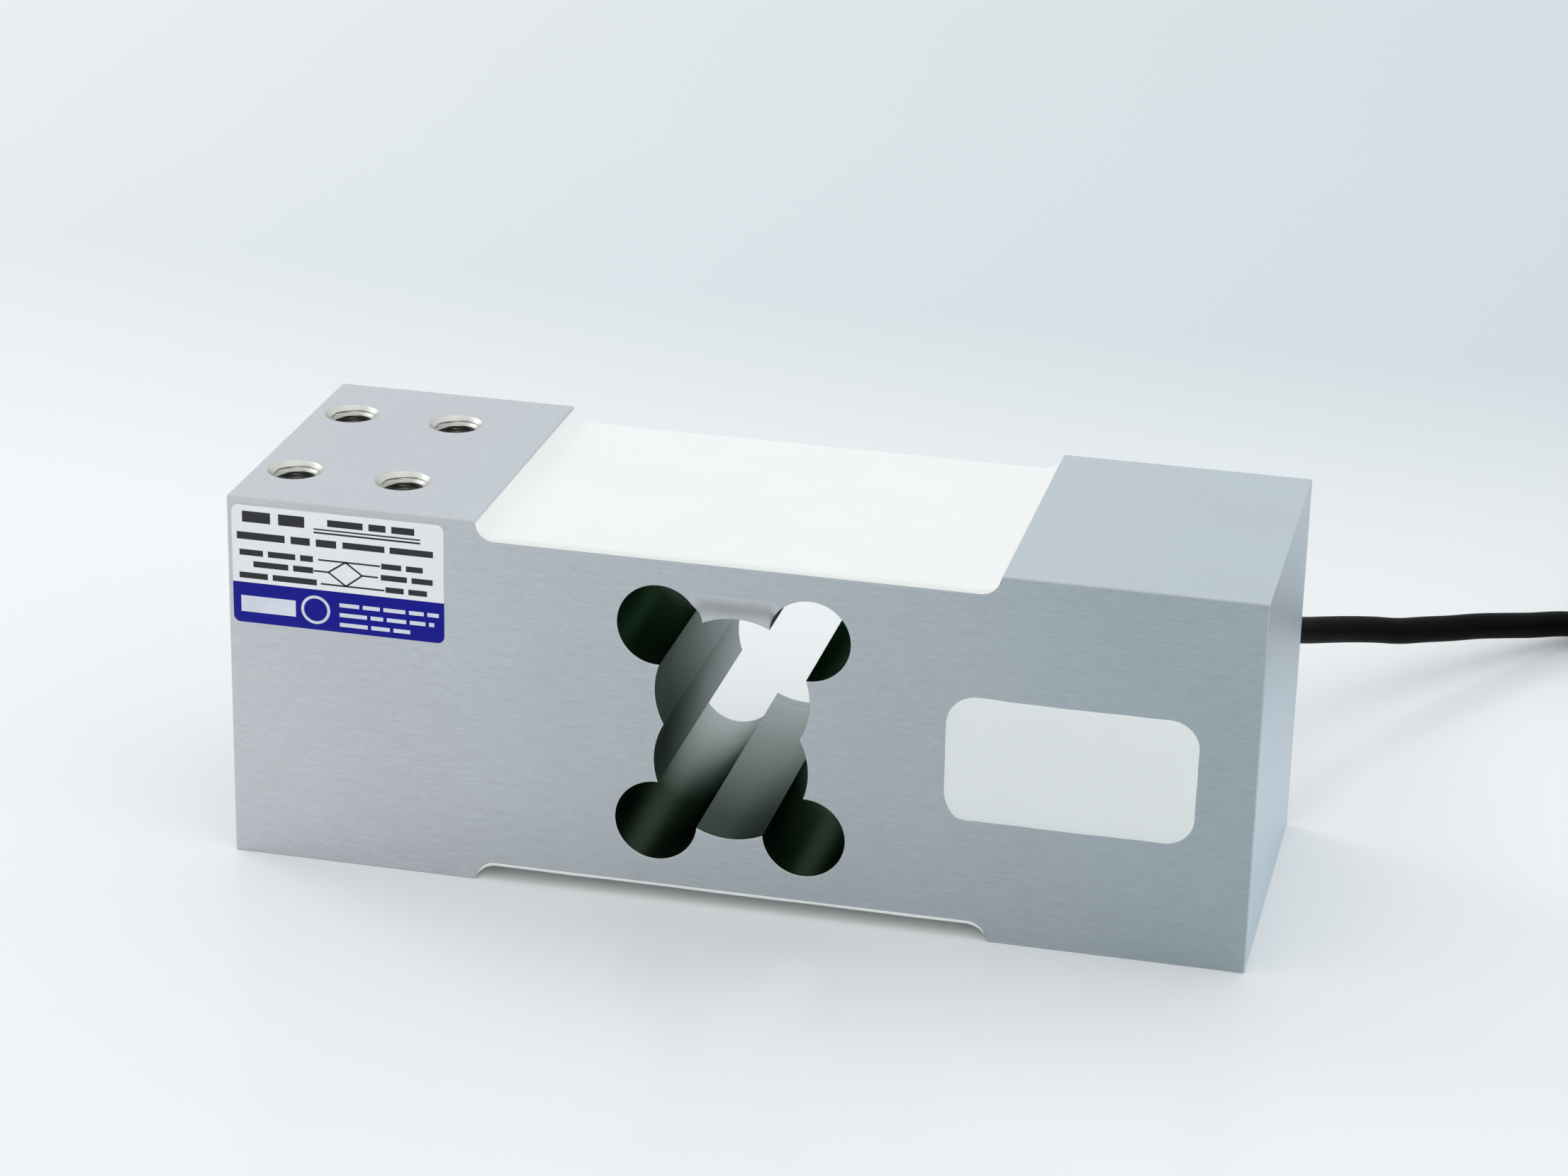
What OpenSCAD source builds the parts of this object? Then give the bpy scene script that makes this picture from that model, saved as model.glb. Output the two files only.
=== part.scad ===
// Single point load cell: a machined aluminium spring block with a flexure opening of six bores,
// foil strain gauges under white silicone, a potted compensation pocket and a six-core cable.
// X runs along the block towards the fixed end, -Y is the labelled front, Z is up.
// The origin is the middle of the underside of the block.

/* [Block] */
// Length of the block
body_l = 174; // [160:1:200]
// Width of the block, front to back
body_w = 60; // [54:1:72]
// Height of the block
body_h = 65; // [60:1:76]
// Length of the raised seat at each end
block_l = 43; // [38:0.5:50]
// Depth of the relieved span between the seats, top and bottom
recess_depth = 3.4; // [2.8:0.1:4.2]
// Radius where the relieved span runs up to a seat
recess_r = 3.4; // [1.5:0.1:4]

/* [Flexure opening] */
// Diameter of the four flexure bores
flexure_bore_d = 14; // [12:0.1:16.5]
// Distance between the flexure bores along the block
flexure_pitch = 25.3; // [21.5:0.1:29]
// Metal left between a flexure bore and the gauged surface
flexure_web = 4.5; // [3.6:0.1:5.4]
// Diameter of the two clearance bores in the middle
centre_bore_d = 26.2; // [22:0.1:31]
// Distance between the two clearance bores
centre_bore_pitch = 12.6; // [10:0.1:15]
// Radius of the scallop filed for corner load adjustment
scallop_r = 4; // [3.2:0.1:4.8]
// Distance of the scallop's axis in front of the front face
scallop_set = 2; // [1.5:0.1:2.4]

/* [Fixing holes] */
// Tapping diameter of the M8 fixing holes
tap_d = 6.8; // [6:0.1:8]
// Diameter of the countersink at each mouth
csk_d = 9.4; // [8.5:0.1:11.5]
// Distance between the fixing holes along the block
hole_pitch_x = 19.05; // [16:0.05:22]
// Distance between the fixing holes across the block
hole_pitch_y = 30; // [25:0.5:36]
// Distance from the end face to the first row of holes
hole_edge = 6.8; // [6:0.1:8]
// Depth of the tapped length
hole_depth = 15; // [12:0.5:18]

/* [Pocket] */
// Length of the electronics pocket in the front face
pocket_l = 40.8; // [36:0.1:44]
// Height of the electronics pocket
pocket_h = 21.2; // [18:0.1:25]
// Corner radius of the pocket
pocket_r = 4.5; // [3:0.1:5.5]
// Depth of the pocket
pocket_depth = 14; // [12:0.5:17]
// Diameter of the wire ducts from the pocket to the gauged surfaces
duct_d = 3; // [2.6:0.1:3.6]
// Distance from a seat's inner edge to the duct
duct_inset = 6; // [5:0.1:7]

/* [Potting] */
// Thickness of the silicone over the gauges
potting_t = 0.8; // [0.7:0.05:1.2]
// Radius of the silicone's meniscus at the seats
meniscus_r = 4.6; // [4.2:0.1:6]

/* [Gauges] */
// Length of a foil strain gauge
gauge_l = 9; // [7.5:0.1:10.7]
// Width of a foil strain gauge
gauge_w = 6; // [5:0.1:7.2]
// Thickness of a gauge on its adhesive
gauge_t = 0.15; // [0.1:0.01:0.2]
// Length of a solder terminal strip
strip_l = 8; // [6.6:0.1:9.6]
// Width of a solder terminal strip
strip_w = 10; // [8:0.1:12]
// Thickness of a solder terminal strip
strip_t = 0.35; // [0.25:0.01:0.45]
// Diameter of a gauge lead wire
lead_d = 0.2; // [0.16:0.01:0.24]
// Diameter of an insulated bridge wire
jumper_d = 0.5; // [0.4:0.01:0.6]

/* [Compensation board] */
// Length of the compensation board
board_l = 26; // [22:0.1:29]
// Height of the compensation board
board_h = 15; // [13:0.1:17]
// Thickness of the compensation board
board_t = 1.6; // [1:0.1:2]
// Distance from the pocket's edge to the board
board_edge = 4.5; // [3.5:0.1:5.5]
// Thickness of the adhesive pad behind the board
pad_t = 0.8; // [0.5:0.1:1.2]
// Diameter of a trimming resistor
resistor_d = 1.8; // [1.5:0.1:2.1]
// Length of a trimming resistor
resistor_l = 4.2; // [3.6:0.1:5]

/* [Label] */
// Length of the type label
label_l = 36.9; // [32:0.1:40]
// Height of the type label
label_h = 21; // [17:0.1:24]
// Thickness of the type label
label_t = 0.12; // [0.08:0.01:0.2]
// Corner radius of the type label
label_r = 1.2; // [0.5:0.1:2]
// Distance from the label to the end face
label_edge = 0.8; // [0.5:0.1:3]
// Distance from the label to the top of the block
label_top = 1.4; // [1:0.1:4]

/* [Cable] */
// Distance from the cable's axis to the pocket's end
cable_edge = 4; // [3.5:0.1:5]
// Distance from mid height down to the cable's axis
cable_drop = 3; // [0:0.5:5]
// Diameter of the cable jacket
cable_d = 5; // [4.4:0.1:5.3]
// Clearance of the cable in its bore
cable_clear = 0.4; // [0.2:0.1:0.8]
// Outer diameter of the bush pressed in the back face
bush_d = 9; // [8:0.1:10]
// Depth of the bush in the back face
bush_depth = 6; // [5:0.1:7]
// Diameter of the bush's collar
collar_d = 11; // [10:0.1:12]
// Thickness of the bush's collar
collar_t = 1.2; // [1:0.1:1.5]
// Length of the bush's flexible tail
bush_tail_l = 6; // [5:0.1:7]
// Outer diameter of a core's insulation
core_d = 1.1; // [0.9:0.05:1.15]
// Diameter of a tinned core end
tin_d = 0.6; // [0.5:0.05:0.7]

/* [Hidden] */
$fn = 64;
over = 1;                                   // how far a cutter runs past a face
half_l = body_l / 2;
half_w = body_w / 2;
mid_z = body_h / 2;
seat_x = half_l - block_l;                  // where a seat begins
floor_z = body_h - recess_depth;            // gauged surface on top
fillet_r = min(recess_r, recess_depth);
bore_x = flexure_pitch / 2;
bore_z = mid_z - recess_depth - flexure_web - flexure_bore_d / 2;   // from mid height
scallop_z = mid_z + centre_bore_pitch / 2 + centre_bore_d / 2;
scallop_l = flexure_pitch - flexure_bore_d + 3;
hole_x = half_l - hole_edge - hole_pitch_x / 2;
csk_depth = (csk_d - tap_d) / 2;
drill_tip = tap_d / 2 / tan(59);
duct_x = seat_x - duct_inset;
pocket_x = duct_x - duct_d / 2 - 0.3;       // pocket's edge beside the duct
pocket_mid = pocket_x + pocket_l / 2;
pocket_floor = -half_w + pocket_depth;
duct_y = pocket_floor - duct_d / 2 - 3.5;
air_r = max(meniscus_r, fillet_r + 0.6);
climb = 1.3;                                // height of the meniscus above the silicone
board_x = pocket_x + board_edge;
board_back = pocket_floor - pad_t;
board_face = board_back - board_t;
joint_h = 0.5;                              // height of a solder joint
joint_r = 0.7;
joint_pitch = board_h / 7.5;
joint_inset = 2.2;
cable_x = pocket_x + pocket_l - cable_edge;
cable_z = mid_z - cable_drop;
bore_d = cable_d + cable_clear;
jacket_in = 24;                             // how far the jacket reaches into its bore
foil_l = 5;                                 // nickel foil of the span resistor
foil_w = 4;
wire_sides = 6;
cable_sides = 10;
core_sides = 8;
// Jumper wires lie beside each other at this pitch
lane = jumper_d + 0.3;
// Six cores stand on a ring in the bore
core_ring = core_d * 1.45;

// Points of the free cable: X and Y from the exit at the back face, Z above the standing surface
cable_points = [
    [0, 8.5, 29.5], [0.25, 15.5, 29], [1.25, 22.25, 27.5], [3, 28.75, 25.5], [5, 35, 23],
    [7.75, 41, 20.5], [10.75, 47, 18.25], [14.25, 52.75, 16.5], [18, 58.5, 14.75], [22.25, 64, 13],
    [26.5, 69, 11.25], [31, 74.25, 10], [35.75, 79.5, 8.75], [40.5, 84.5, 7.75], [45.5, 89.5, 6.5],
    [50.25, 94.25, 5.25], [55.25, 99, 4.25], [60.5, 103.75, 3], [65.5, 108.5, 2.5]
];
coil_centre = [109, 95];                    // from the exit, as above
coil_in = 17.5;
coil_out = 42.5;
coil_low = 0.6;                             // the coil lies on its tie
coil_h = 10;
coil_round = 2.4;
tie_t = 0.6;
tie_angle = 10;
tie_turn = -95;
// Tail of the cable beside the coil, from the exit, as above
tail_points = [[154.3, 95, 2.5], [153.5, 85.5, 2.5], [151.5, 77, 2.7], [149.5, 71, 2.9], [148.5, 68, 2.9]];
sleeve_l = 10;
sleeve_d = 5.8;
fan_heading = -110;                         // way the cores point on the surface
fan_step = 10;
core_l = 28;
tin_l = 6;
exit_at = [cable_x, half_w, 0];

function unit(v) = v / norm(v);
function heading(p, i) = unit(p[min(i + 1, len(p) - 1)] - p[max(i - 1, 0)]);
// Ring of points round the path at point i, square to the path's heading there
function ring(p, i, r, sides, up) =
    let (t = heading(p, i), s = unit(cross(t, up)), u = cross(s, t))
    [for (k = [0 : sides - 1]) p[i] + r * (cos(360 * k / sides) * s + sin(360 * k / sides) * u)];
function shifted(p, by) = [for (q = p) q + by];

// A round tube swept along the points of a path
module swept(path, d, sides, up = [0, 0, 1]) {
    last = len(path) - 1;
    points = [for (i = [0 : last]) each ring(path, i, d / 2, sides, up)];
    walls = [
        for (i = [0 : last - 1], k = [0 : sides - 1])
        let (a = i * sides + k, b = i * sides + (k + 1) % sides, c = a + sides, e = b + sides)
        each [[a, b, c], [b, e, c]]
    ];
    caps = [[for (k = [sides - 1 : -1 : 0]) k], [for (k = [0 : sides - 1]) last * sides + k]];
    polyhedron(points, concat(walls, caps));
}

module rounded_rect(l, h, r) {
    x = l / 2 - r;
    y = h / 2 - r;
    union() {
        square([l, h - 2 * r], center = true);
        square([l - 2 * r, h], center = true);
        for (sx = [-1, 1], sy = [-1, 1]) translate([sx * x, sy * y]) circle(r);
    }
}

// Turns a flat outline drawn in X and Z into a slab from y0 to y1
module slab(y0, y1) {
    translate([0, y1, 0]) rotate([90, 0, 0]) linear_extrude(y1 - y0) children();
}

module on_both_sides() {
    children();
    mirror([1, 0, 0]) children();
}

module upside_down() {
    translate([0, 0, body_h]) mirror([0, 0, 1]) children();
}

// Cross-section of the relieved span on top, open upwards
module span_outline() {
    difference() {
        translate([-seat_x, floor_z]) square([2 * seat_x, recess_depth + over]);
        on_both_sides() translate([seat_x, floor_z]) difference() {
            translate([-fillet_r, -over]) square([fillet_r + over, fillet_r + over]);
            translate([-fillet_r, fillet_r]) circle(fillet_r);
            translate([-fillet_r - over, -over]) square([over, fillet_r + over]);
        }
    }
}

// Block seen from the front, without its holes
module block_outline() {
    difference() {
        translate([-half_l, 0]) square([body_l, body_h]);
        span_outline();
        translate([0, body_h]) mirror([0, 1]) span_outline();
    }
}

module flexure_outline() {
    for (sx = [-1, 1], sz = [-1, 1]) translate([sx * bore_x, mid_z + sz * bore_z]) circle(d = flexure_bore_d);
    for (sz = [-1, 1]) translate([0, mid_z + sz * centre_bore_pitch / 2]) circle(d = centre_bore_d);
}

// One tapped hole going down from the origin, with countersink and drill point
module tapped_hole() {
    rotate_extrude() polygon([
        [0, over], [csk_d / 2 + over, over], [csk_d / 2, 0], [tap_d / 2, -csk_depth],
        [tap_d / 2, -hole_depth], [0, -hole_depth - drill_tip]
    ]);
}

module fixing_holes() {
    for (sx = [-1, 1], sy = [-1, 1])
        translate([-hole_x + sx * hole_pitch_x / 2, sy * hole_pitch_y / 2, body_h]) tapped_hole();
}

module pocket_outline() {
    translate([pocket_mid, mid_z]) rounded_rect(pocket_l, pocket_h, pocket_r);
}

// Wire duct from the gauged surface down into the pocket
module duct() {
    translate([duct_x, duct_y, mid_z]) cylinder(d = duct_d, h = floor_z - mid_z + over);
}

module load_cell_body() {
    color("silver") difference() {
        slab(-half_w, half_w) block_outline();
        slab(-half_w - over, half_w + over) flexure_outline();
        translate([-scallop_l / 2, -half_w - scallop_set, scallop_z]) rotate([0, 90, 0])
            cylinder(r = scallop_r, h = scallop_l);
        fixing_holes();
        upside_down() mirror([1, 0, 0]) fixing_holes();
        slab(-half_w - over, pocket_floor) pocket_outline();
        duct();
        upside_down() duct();
        translate([cable_x, pocket_floor - over, cable_z]) rotate([-90, 0, 0])
            cylinder(d = bore_d, h = body_w);
        translate([cable_x, half_w - bush_depth, cable_z]) rotate([-90, 0, 0])
            cylinder(d = bush_d, h = bush_depth + over);
    }
}

// Foil gauge centred over a flexure bore: backing with a thicker grid field
module gauge(side) {
    translate([side * bore_x, 0, floor_z]) union() {
        translate([-gauge_l / 2, -gauge_w / 2, 0]) cube([gauge_l, gauge_w, gauge_t]);
        translate([-gauge_l / 4, -gauge_w / 4, 0]) cube([gauge_l / 2, gauge_w / 2, gauge_t * 1.4]);
    }
}

module gauge_top_load() { color("goldenrod") gauge(-1); }
module gauge_top_fixed() { color("goldenrod") gauge(1); }
module gauge_bottom_load() { color("goldenrod") upside_down() gauge(-1); }
module gauge_bottom_fixed() { color("goldenrod") upside_down() gauge(1); }

// Terminal strip with two rows of raised copper pads
pad_pitch = strip_l / 3;
module terminals() {
    translate([-strip_l / 2, -strip_w / 2, floor_z]) cube([strip_l, strip_w, strip_t * 0.7]);
    for (sx = [-1, 0, 1], sy = [-1, 1])
        translate([sx * pad_pitch - strip_l / 10, sy * strip_w / 4 - strip_w / 6, floor_z])
            cube([strip_l / 5, strip_w / 3, strip_t]);
}

module solder_terminals_top() { color("darkgreen") terminals(); }
module solder_terminals_bottom() { color("darkgreen") upside_down() terminals(); }

// Two fine leads from each gauge's inner end up onto the strip
function lead_path(sx, sy) = let (r = lead_d / 2) [
    [sx * (bore_x - gauge_l / 2 + 0.7), sy * gauge_w / 5, floor_z + gauge_t + r],
    [sx * (bore_x - gauge_l / 2 - 0.1), sy * gauge_w / 5, floor_z + strip_t + r],
    [sx * pad_pitch, sy * strip_w / 7, floor_z + strip_t + r]
];
module leads(d) {
    for (sx = [-1, 1], sy = [-1, 1]) swept(lead_path(sx, sy), d, wire_sides);
}
module gauge_leads_top() { color("peru") leads(lead_d); }
module gauge_leads_bottom() { color("peru") upside_down() leads(lead_d); }

// Three bridge wires from the strip, past the gauge, down the duct and onto the board
joint_x = board_x + joint_inset;
joint_top = board_face - joint_h;
function joint_z(k) = mid_z + (3 - k) * joint_pitch;
function jumper_path(k) = let (
    r = jumper_d / 2,
    high = floor_z + strip_t + r,
    low = floor_z + r + 0.02,
    x = (1 - k) * pad_pitch,
    y = -strip_w / 2 - 2 - k * lane,
    down = duct_y + (1 - k) * lane
) [
    [x, -strip_w * 0.36, high],
    [x, -strip_w / 2 - 0.1, high],
    [x, y + 0.9, low],
    [x + 0.9, y, low],
    [bore_x + gauge_l / 2, y, low],
    [duct_x - 3.4, down + 1.6, low],
    [duct_x - 0.8, down, low],
    [duct_x - 0.1, down, floor_z - 0.5],
    [duct_x, down, floor_z - 2],
    [duct_x, down, joint_z(k) + 2.6],
    [duct_x + 0.7, down, joint_z(k) + 0.9],
    [joint_x - 1.8, joint_top - 1.7, joint_z(k) + 0.1],
    [joint_x - 0.5, joint_top - 1.3, joint_z(k)],
    [joint_x, joint_top - 0.6, joint_z(k)],
    [joint_x, joint_top, joint_z(k)]
];
module jumpers(d) {
    for (k = [0 : 2]) swept(jumper_path(k), d, wire_sides, [1, 1, 1]);
}
module bridge_wires_top() { color("firebrick") jumpers(jumper_d); }
module bridge_wires_bottom() { color("firebrick") upside_down() jumpers(jumper_d); }

// Nickel foil that trims the span, bonded beside the gauge on the fixed side
module span_foil() {
    translate([bore_x + gauge_l / 2 + 3, gauge_w / 2 - foil_w / 2, floor_z]) cube([foil_l, foil_w, gauge_t]);
}
module span_resistor_foil() { color("lightgray") span_foil(); }

// Air above the silicone: flat with round lower corners
module air_outline() {
    low = floor_z + potting_t;
    edge = seat_x - fillet_r + sqrt(fillet_r * fillet_r - pow(fillet_r - potting_t - climb, 2))
        - sqrt(air_r * air_r - pow(air_r - climb, 2));
    translate([-edge, low]) square([2 * edge, recess_depth + over]);
    translate([-edge - air_r, low + air_r]) square([2 * (edge + air_r), recess_depth + over]);
    on_both_sides() translate([edge, low + air_r]) circle(air_r);
}

// Silicone over the gauged surface, rounded at its free edges
module silicone() {
    round_r = potting_t;
    intersection() {
        slab(-half_w, half_w) difference() {
            intersection() {
                span_outline();
                translate([-half_l, floor_z - over]) square([body_l, over + potting_t + climb]);
            }
            air_outline();
        }
        translate([-half_l, 0, 0]) rotate([90, 0, 90]) linear_extrude(body_l) union() {
            translate([-half_w + round_r, floor_z - over]) square([body_w - 2 * round_r, recess_depth + 2 * over]);
            translate([-half_w, floor_z - over]) square([body_w, over]);
            for (sy = [-1, 1]) translate([sy * (half_w - round_r), floor_z]) circle(round_r);
        }
    }
}

module buried(side) {
    grow = 0.04;
    for (sx = [-1, 1]) translate([0, 0, -grow]) gauge(sx);
    gauge(-1);
    gauge(1);
    translate([0, 0, -grow]) terminals();
    terminals();
    leads(lead_d);
    jumpers(jumper_d + grow);
    if (side == "top") span_foil();
    translate([duct_x, duct_y, floor_z - over]) cylinder(d = duct_d, h = over + jumper_d);
}

module top_potting() {
    color("white") difference() {
        silicone();
        buried("top");
    }
}
module bottom_potting() {
    color("white") upside_down() difference() {
        silicone();
        buried("bottom");
    }
}

module board_pad() {
    color("dimgray") translate([board_x + 1, board_back, mid_z - board_h / 2 + 1])
        cube([board_l - 2, pad_t, board_h - 2]);
}

module compensation_board() {
    color("seagreen") translate([board_x, board_face, mid_z - board_h / 2]) cube([board_l, board_t, board_h]);
}

// Four trimming resistors lie on the middle of the board
module trimming_resistors() {
    color("lightblue") for (k = [-1.5 : 1 : 1.5])
        translate([board_x + board_l / 2 - resistor_l / 2, board_face - resistor_d / 2, mid_z + k * resistor_d * 1.7])
            rotate([0, 90, 0]) cylinder(d = resistor_d, h = resistor_l);
}

core_joint_x = board_x + board_l - joint_inset;
function core_z(k) = mid_z + (2.5 - k) * joint_pitch;
module joints() {
    spots = concat(
        [for (k = [0 : 2]) [joint_x, joint_z(k)]],
        [for (k = [0 : 2]) [joint_x, body_h - joint_z(k)]],
        [for (k = [0 : 5]) [core_joint_x, core_z(k)]]
    );
    for (s = spots) translate([s[0], board_face, s[1]]) rotate([90, 0, 0]) cylinder(r = joint_r, h = joint_h, $fn = 24);
}
module board_solder_joints() { color("gainsboro") joints(); }

// Six cores leave the stripped jacket in the bore and fan out to the board
function core_spot(k) = let (side = k % 2 == 0 ? -1 : 1, a = 60 - 60 * floor(k / 2))
    [side * core_ring * cos(a), core_ring * sin(a)];
function pocket_core_path(k) = let (
    s = core_spot(k),
    out = joint_top - 2.4 - (s[0] > 0 ? 2.2 : 0),
    start = s[1],
    end = core_z(k) - cable_z
) [
    [cable_x + s[0], half_w - jacket_in, cable_z + start],
    [cable_x + s[0], pocket_floor + 0.5, cable_z + start],
    [cable_x + s[0] - 0.3, joint_top + 0.6, cable_z + start],
    [cable_x + s[0] - 1.6, out + 0.7, cable_z + start + (end - start) * 0.2],
    [cable_x - 3.6, out, cable_z + start + (end - start) * 0.5],
    [core_joint_x + 3, out, cable_z + end],
    [core_joint_x + 0.9, out + 0.8, cable_z + end],
    [core_joint_x, joint_top - 1, cable_z + end],
    [core_joint_x, joint_top, cable_z + end]
];
module cores_in_pocket(d) {
    for (k = [0 : 5]) swept(pocket_core_path(k), d, wire_sides, [0.2, 0.1, 1]);
}
module pocket_cores() { color("slategray") cores_in_pocket(core_d); }

module window_potting() {
    rim = 0.3;
    color("white") difference() {
        union() {
            slab(-half_w + rim, pocket_floor) pocket_outline();
            slab(-half_w, -half_w + rim) translate([pocket_mid, mid_z])
                rounded_rect(pocket_l - 2 * rim, pocket_h - 2 * rim, pocket_r - rim);
        }
        translate([board_x, board_face, mid_z - board_h / 2]) cube([board_l, board_t + pad_t + over, board_h]);
        trimming_resistors();
        joints();
        jumpers(jumper_d + 0.04);
        upside_down() jumpers(jumper_d + 0.04);
        cores_in_pocket(core_d + 0.04);
    }
}

module type_label() {
    color("lavender") slab(-half_w - label_t, -half_w)
        translate([-half_l + label_edge + label_l / 2, body_h - label_top - label_h / 2])
            rounded_rect(label_l, label_h, label_r);
}

// Moulded bush: plug in the counterbore, collar on the face, ribbed tail on the cable
module cable_bush() {
    rib = bush_tail_l / 6;
    top_r = cable_d / 2 + 1.5;
    tip_r = cable_d / 2 + 0.7;
    color("#202020") translate([cable_x, half_w, cable_z]) rotate([-90, 0, 0]) rotate_extrude() polygon([
        [cable_d / 2, -bush_depth], [bush_d / 2, -bush_depth], [bush_d / 2, 0], [collar_d / 2, 0],
        [collar_d / 2, collar_t * 0.7], [collar_d / 2 - 0.4, collar_t], [top_r, collar_t],
        [top_r, collar_t + rib], [top_r - 0.5, collar_t + rib], [top_r - 0.5, collar_t + 2 * rib],
        [top_r - 0.2, collar_t + 2 * rib], [top_r - 0.2, collar_t + 3 * rib],
        [tip_r - 0.1, collar_t + 3 * rib], [tip_r - 0.1, collar_t + 4 * rib],
        [tip_r, collar_t + 4 * rib], [tip_r - 0.1, collar_t + bush_tail_l], [cable_d / 2, collar_t + bush_tail_l]
    ]);
}

module signal_cable() {
    lead_in = [[0, -jacket_in, cable_z], [0, collar_t + bush_tail_l, cable_z]];
    color("#141414") swept(shifted(concat(lead_in, [for (i = [1 : len(cable_points) - 1]) cable_points[i]]), exit_at),
        cable_d, cable_sides);
}

module at_coil() {
    translate(exit_at + [coil_centre[0], coil_centre[1], coil_low]) children();
}

module coil_section(grow = 0) {
    translate([(coil_in + coil_out) / 2, coil_h / 2])
        rounded_rect(coil_out - coil_in + 2 * grow, coil_h + 2 * grow, coil_round + grow);
}

module cable_coil() {
    color("#1a1a1a") at_coil() rotate_extrude() coil_section();
}

// Tie band round the bundle, with its head on the outside
module cable_tie() {
    head = [3.6, 5.2, 4.4];
    color("#303030") at_coil() rotate([0, 0, tie_turn]) union() {
        rotate([0, 0, -tie_angle / 2]) rotate_extrude(angle = tie_angle) difference() {
            coil_section(tie_t);
            coil_section();
        }
        translate([coil_out + tie_t / 2, -head[1] / 2, coil_h / 2 - head[2] / 2]) cube(head);
    }
}

module cable_tail() {
    color("#141414") swept(shifted(tail_points, exit_at), cable_d, cable_sides);
}

tail_end = exit_at + tail_points[len(tail_points) - 1];
tail_way = unit(tail_points[len(tail_points) - 1] - tail_points[len(tail_points) - 2]);
sleeve_way = unit([tail_way[0], tail_way[1], 0]);
module jacket_sleeve() {
    color("#202020") swept([tail_end, tail_end + sleeve_l / 2 * sleeve_way, tail_end + sleeve_l * sleeve_way],
        sleeve_d, 16);
}

// Cores leave the sleeve in two layers, drop to the surface and spread like a fan
function fan_start(k) = tail_end + sleeve_l * sleeve_way
    + (k - 3) * 0.6 * [-sleeve_way[1], sleeve_way[0], 0] + [0, 0, k % 2 == 0 ? -0.75 : 0.75];
function fan_way(k) = let (a = fan_heading + (k - 3) * fan_step) [cos(a), sin(a), 0];
function core_path(k) = let (s = fan_start(k), w = fan_way(k), low = core_d / 2) [
    s,
    s + 3 * sleeve_way,
    [s[0], s[1], low + 0.8] + 8 * w,
    [s[0], s[1], low] + 13 * w,
    [s[0], s[1], low] + 20 * w,
    [s[0], s[1], low] + core_l * w
];
module core(k) { swept(core_path(k), core_d, core_sides); }
module core_red() { color("red") core(0); }
module core_black() { color("black") core(1); }
module core_green() { color("green") core(2); }
module core_white() { color("white") core(4); }
module core_blue() { color("blue") core(5); }
module core_yellow() { color("yellow") core(6); }
module shield_drain() {
    color("silver") swept(core_path(3), core_d * 0.8, core_sides);
}
module tinned_core_ends() {
    color("lightgray") for (k = [0, 1, 2, 4, 5, 6]) let (p = core_path(k), end = p[len(p) - 1])
        swept([end, end + tin_l / 2 * fan_way(k), end + tin_l * fan_way(k)], tin_d, core_sides);
}

load_cell_body();
gauge_top_load();
gauge_top_fixed();
gauge_bottom_load();
gauge_bottom_fixed();
solder_terminals_top();
solder_terminals_bottom();
gauge_leads_top();
gauge_leads_bottom();
bridge_wires_top();
bridge_wires_bottom();
span_resistor_foil();
top_potting();
bottom_potting();
board_pad();
compensation_board();
trimming_resistors();
board_solder_joints();
pocket_cores();
window_potting();
type_label();
cable_bush();
signal_cable();
cable_coil();
cable_tie();
cable_tail();
jacket_sleeve();
core_red();
core_black();
core_green();
core_white();
core_blue();
core_yellow();
shield_drain();
tinned_core_ends();
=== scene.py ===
# Single point load cell: the block, its silicone, label and cable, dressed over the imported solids.
import math
import bmesh
import bpy
import numpy as np
from mathutils import Matrix, Vector
from mathutils.geometry import tessellate_polygon


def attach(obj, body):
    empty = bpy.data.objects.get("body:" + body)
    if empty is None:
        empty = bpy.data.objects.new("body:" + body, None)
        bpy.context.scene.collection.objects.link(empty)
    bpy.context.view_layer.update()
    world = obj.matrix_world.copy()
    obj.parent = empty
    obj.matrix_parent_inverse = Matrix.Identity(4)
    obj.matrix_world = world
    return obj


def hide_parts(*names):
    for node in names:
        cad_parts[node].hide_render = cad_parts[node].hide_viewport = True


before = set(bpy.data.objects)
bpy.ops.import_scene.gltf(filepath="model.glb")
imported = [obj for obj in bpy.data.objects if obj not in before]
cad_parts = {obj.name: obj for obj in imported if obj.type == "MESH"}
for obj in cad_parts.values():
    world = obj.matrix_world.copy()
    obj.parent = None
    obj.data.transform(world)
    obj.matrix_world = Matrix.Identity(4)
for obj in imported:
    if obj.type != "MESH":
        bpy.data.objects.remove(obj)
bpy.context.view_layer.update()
chance = np.random.default_rng(11)
mm = 0.001

# All sizes below are in millimetres, in the frame of the solids, apart from those in materials and of
# the stage, which are in metres.


# Point, mesh and object helpers

def linked(name, data):
    # a new object in the scene, at the origin
    made = bpy.data.objects.new(name, data)
    bpy.context.scene.collection.objects.link(made)
    return made


def arc(cx, cz, r, a0, a1, n):
    # centre plus r times cosine and sine, at n angles from a0 to a1 in degrees
    a = np.radians(np.linspace(a0, a1, n))
    return np.stack([cx + r * np.cos(a), cz + r * np.sin(a)], 1)


def outward(loop):
    # unit normal at each point of a counterclockwise loop: the mean of its two edges' right-hand normals
    ahead = np.roll(loop, -1, 0) - loop
    normal = np.stack([ahead[:, 1], -ahead[:, 0]], 1)
    normal /= np.linalg.norm(normal, axis=1, keepdims=True) + 1e-12
    both = normal + np.roll(normal, 1, 0)
    return both / (np.linalg.norm(both, axis=1, keepdims=True) + 1e-12)


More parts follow.
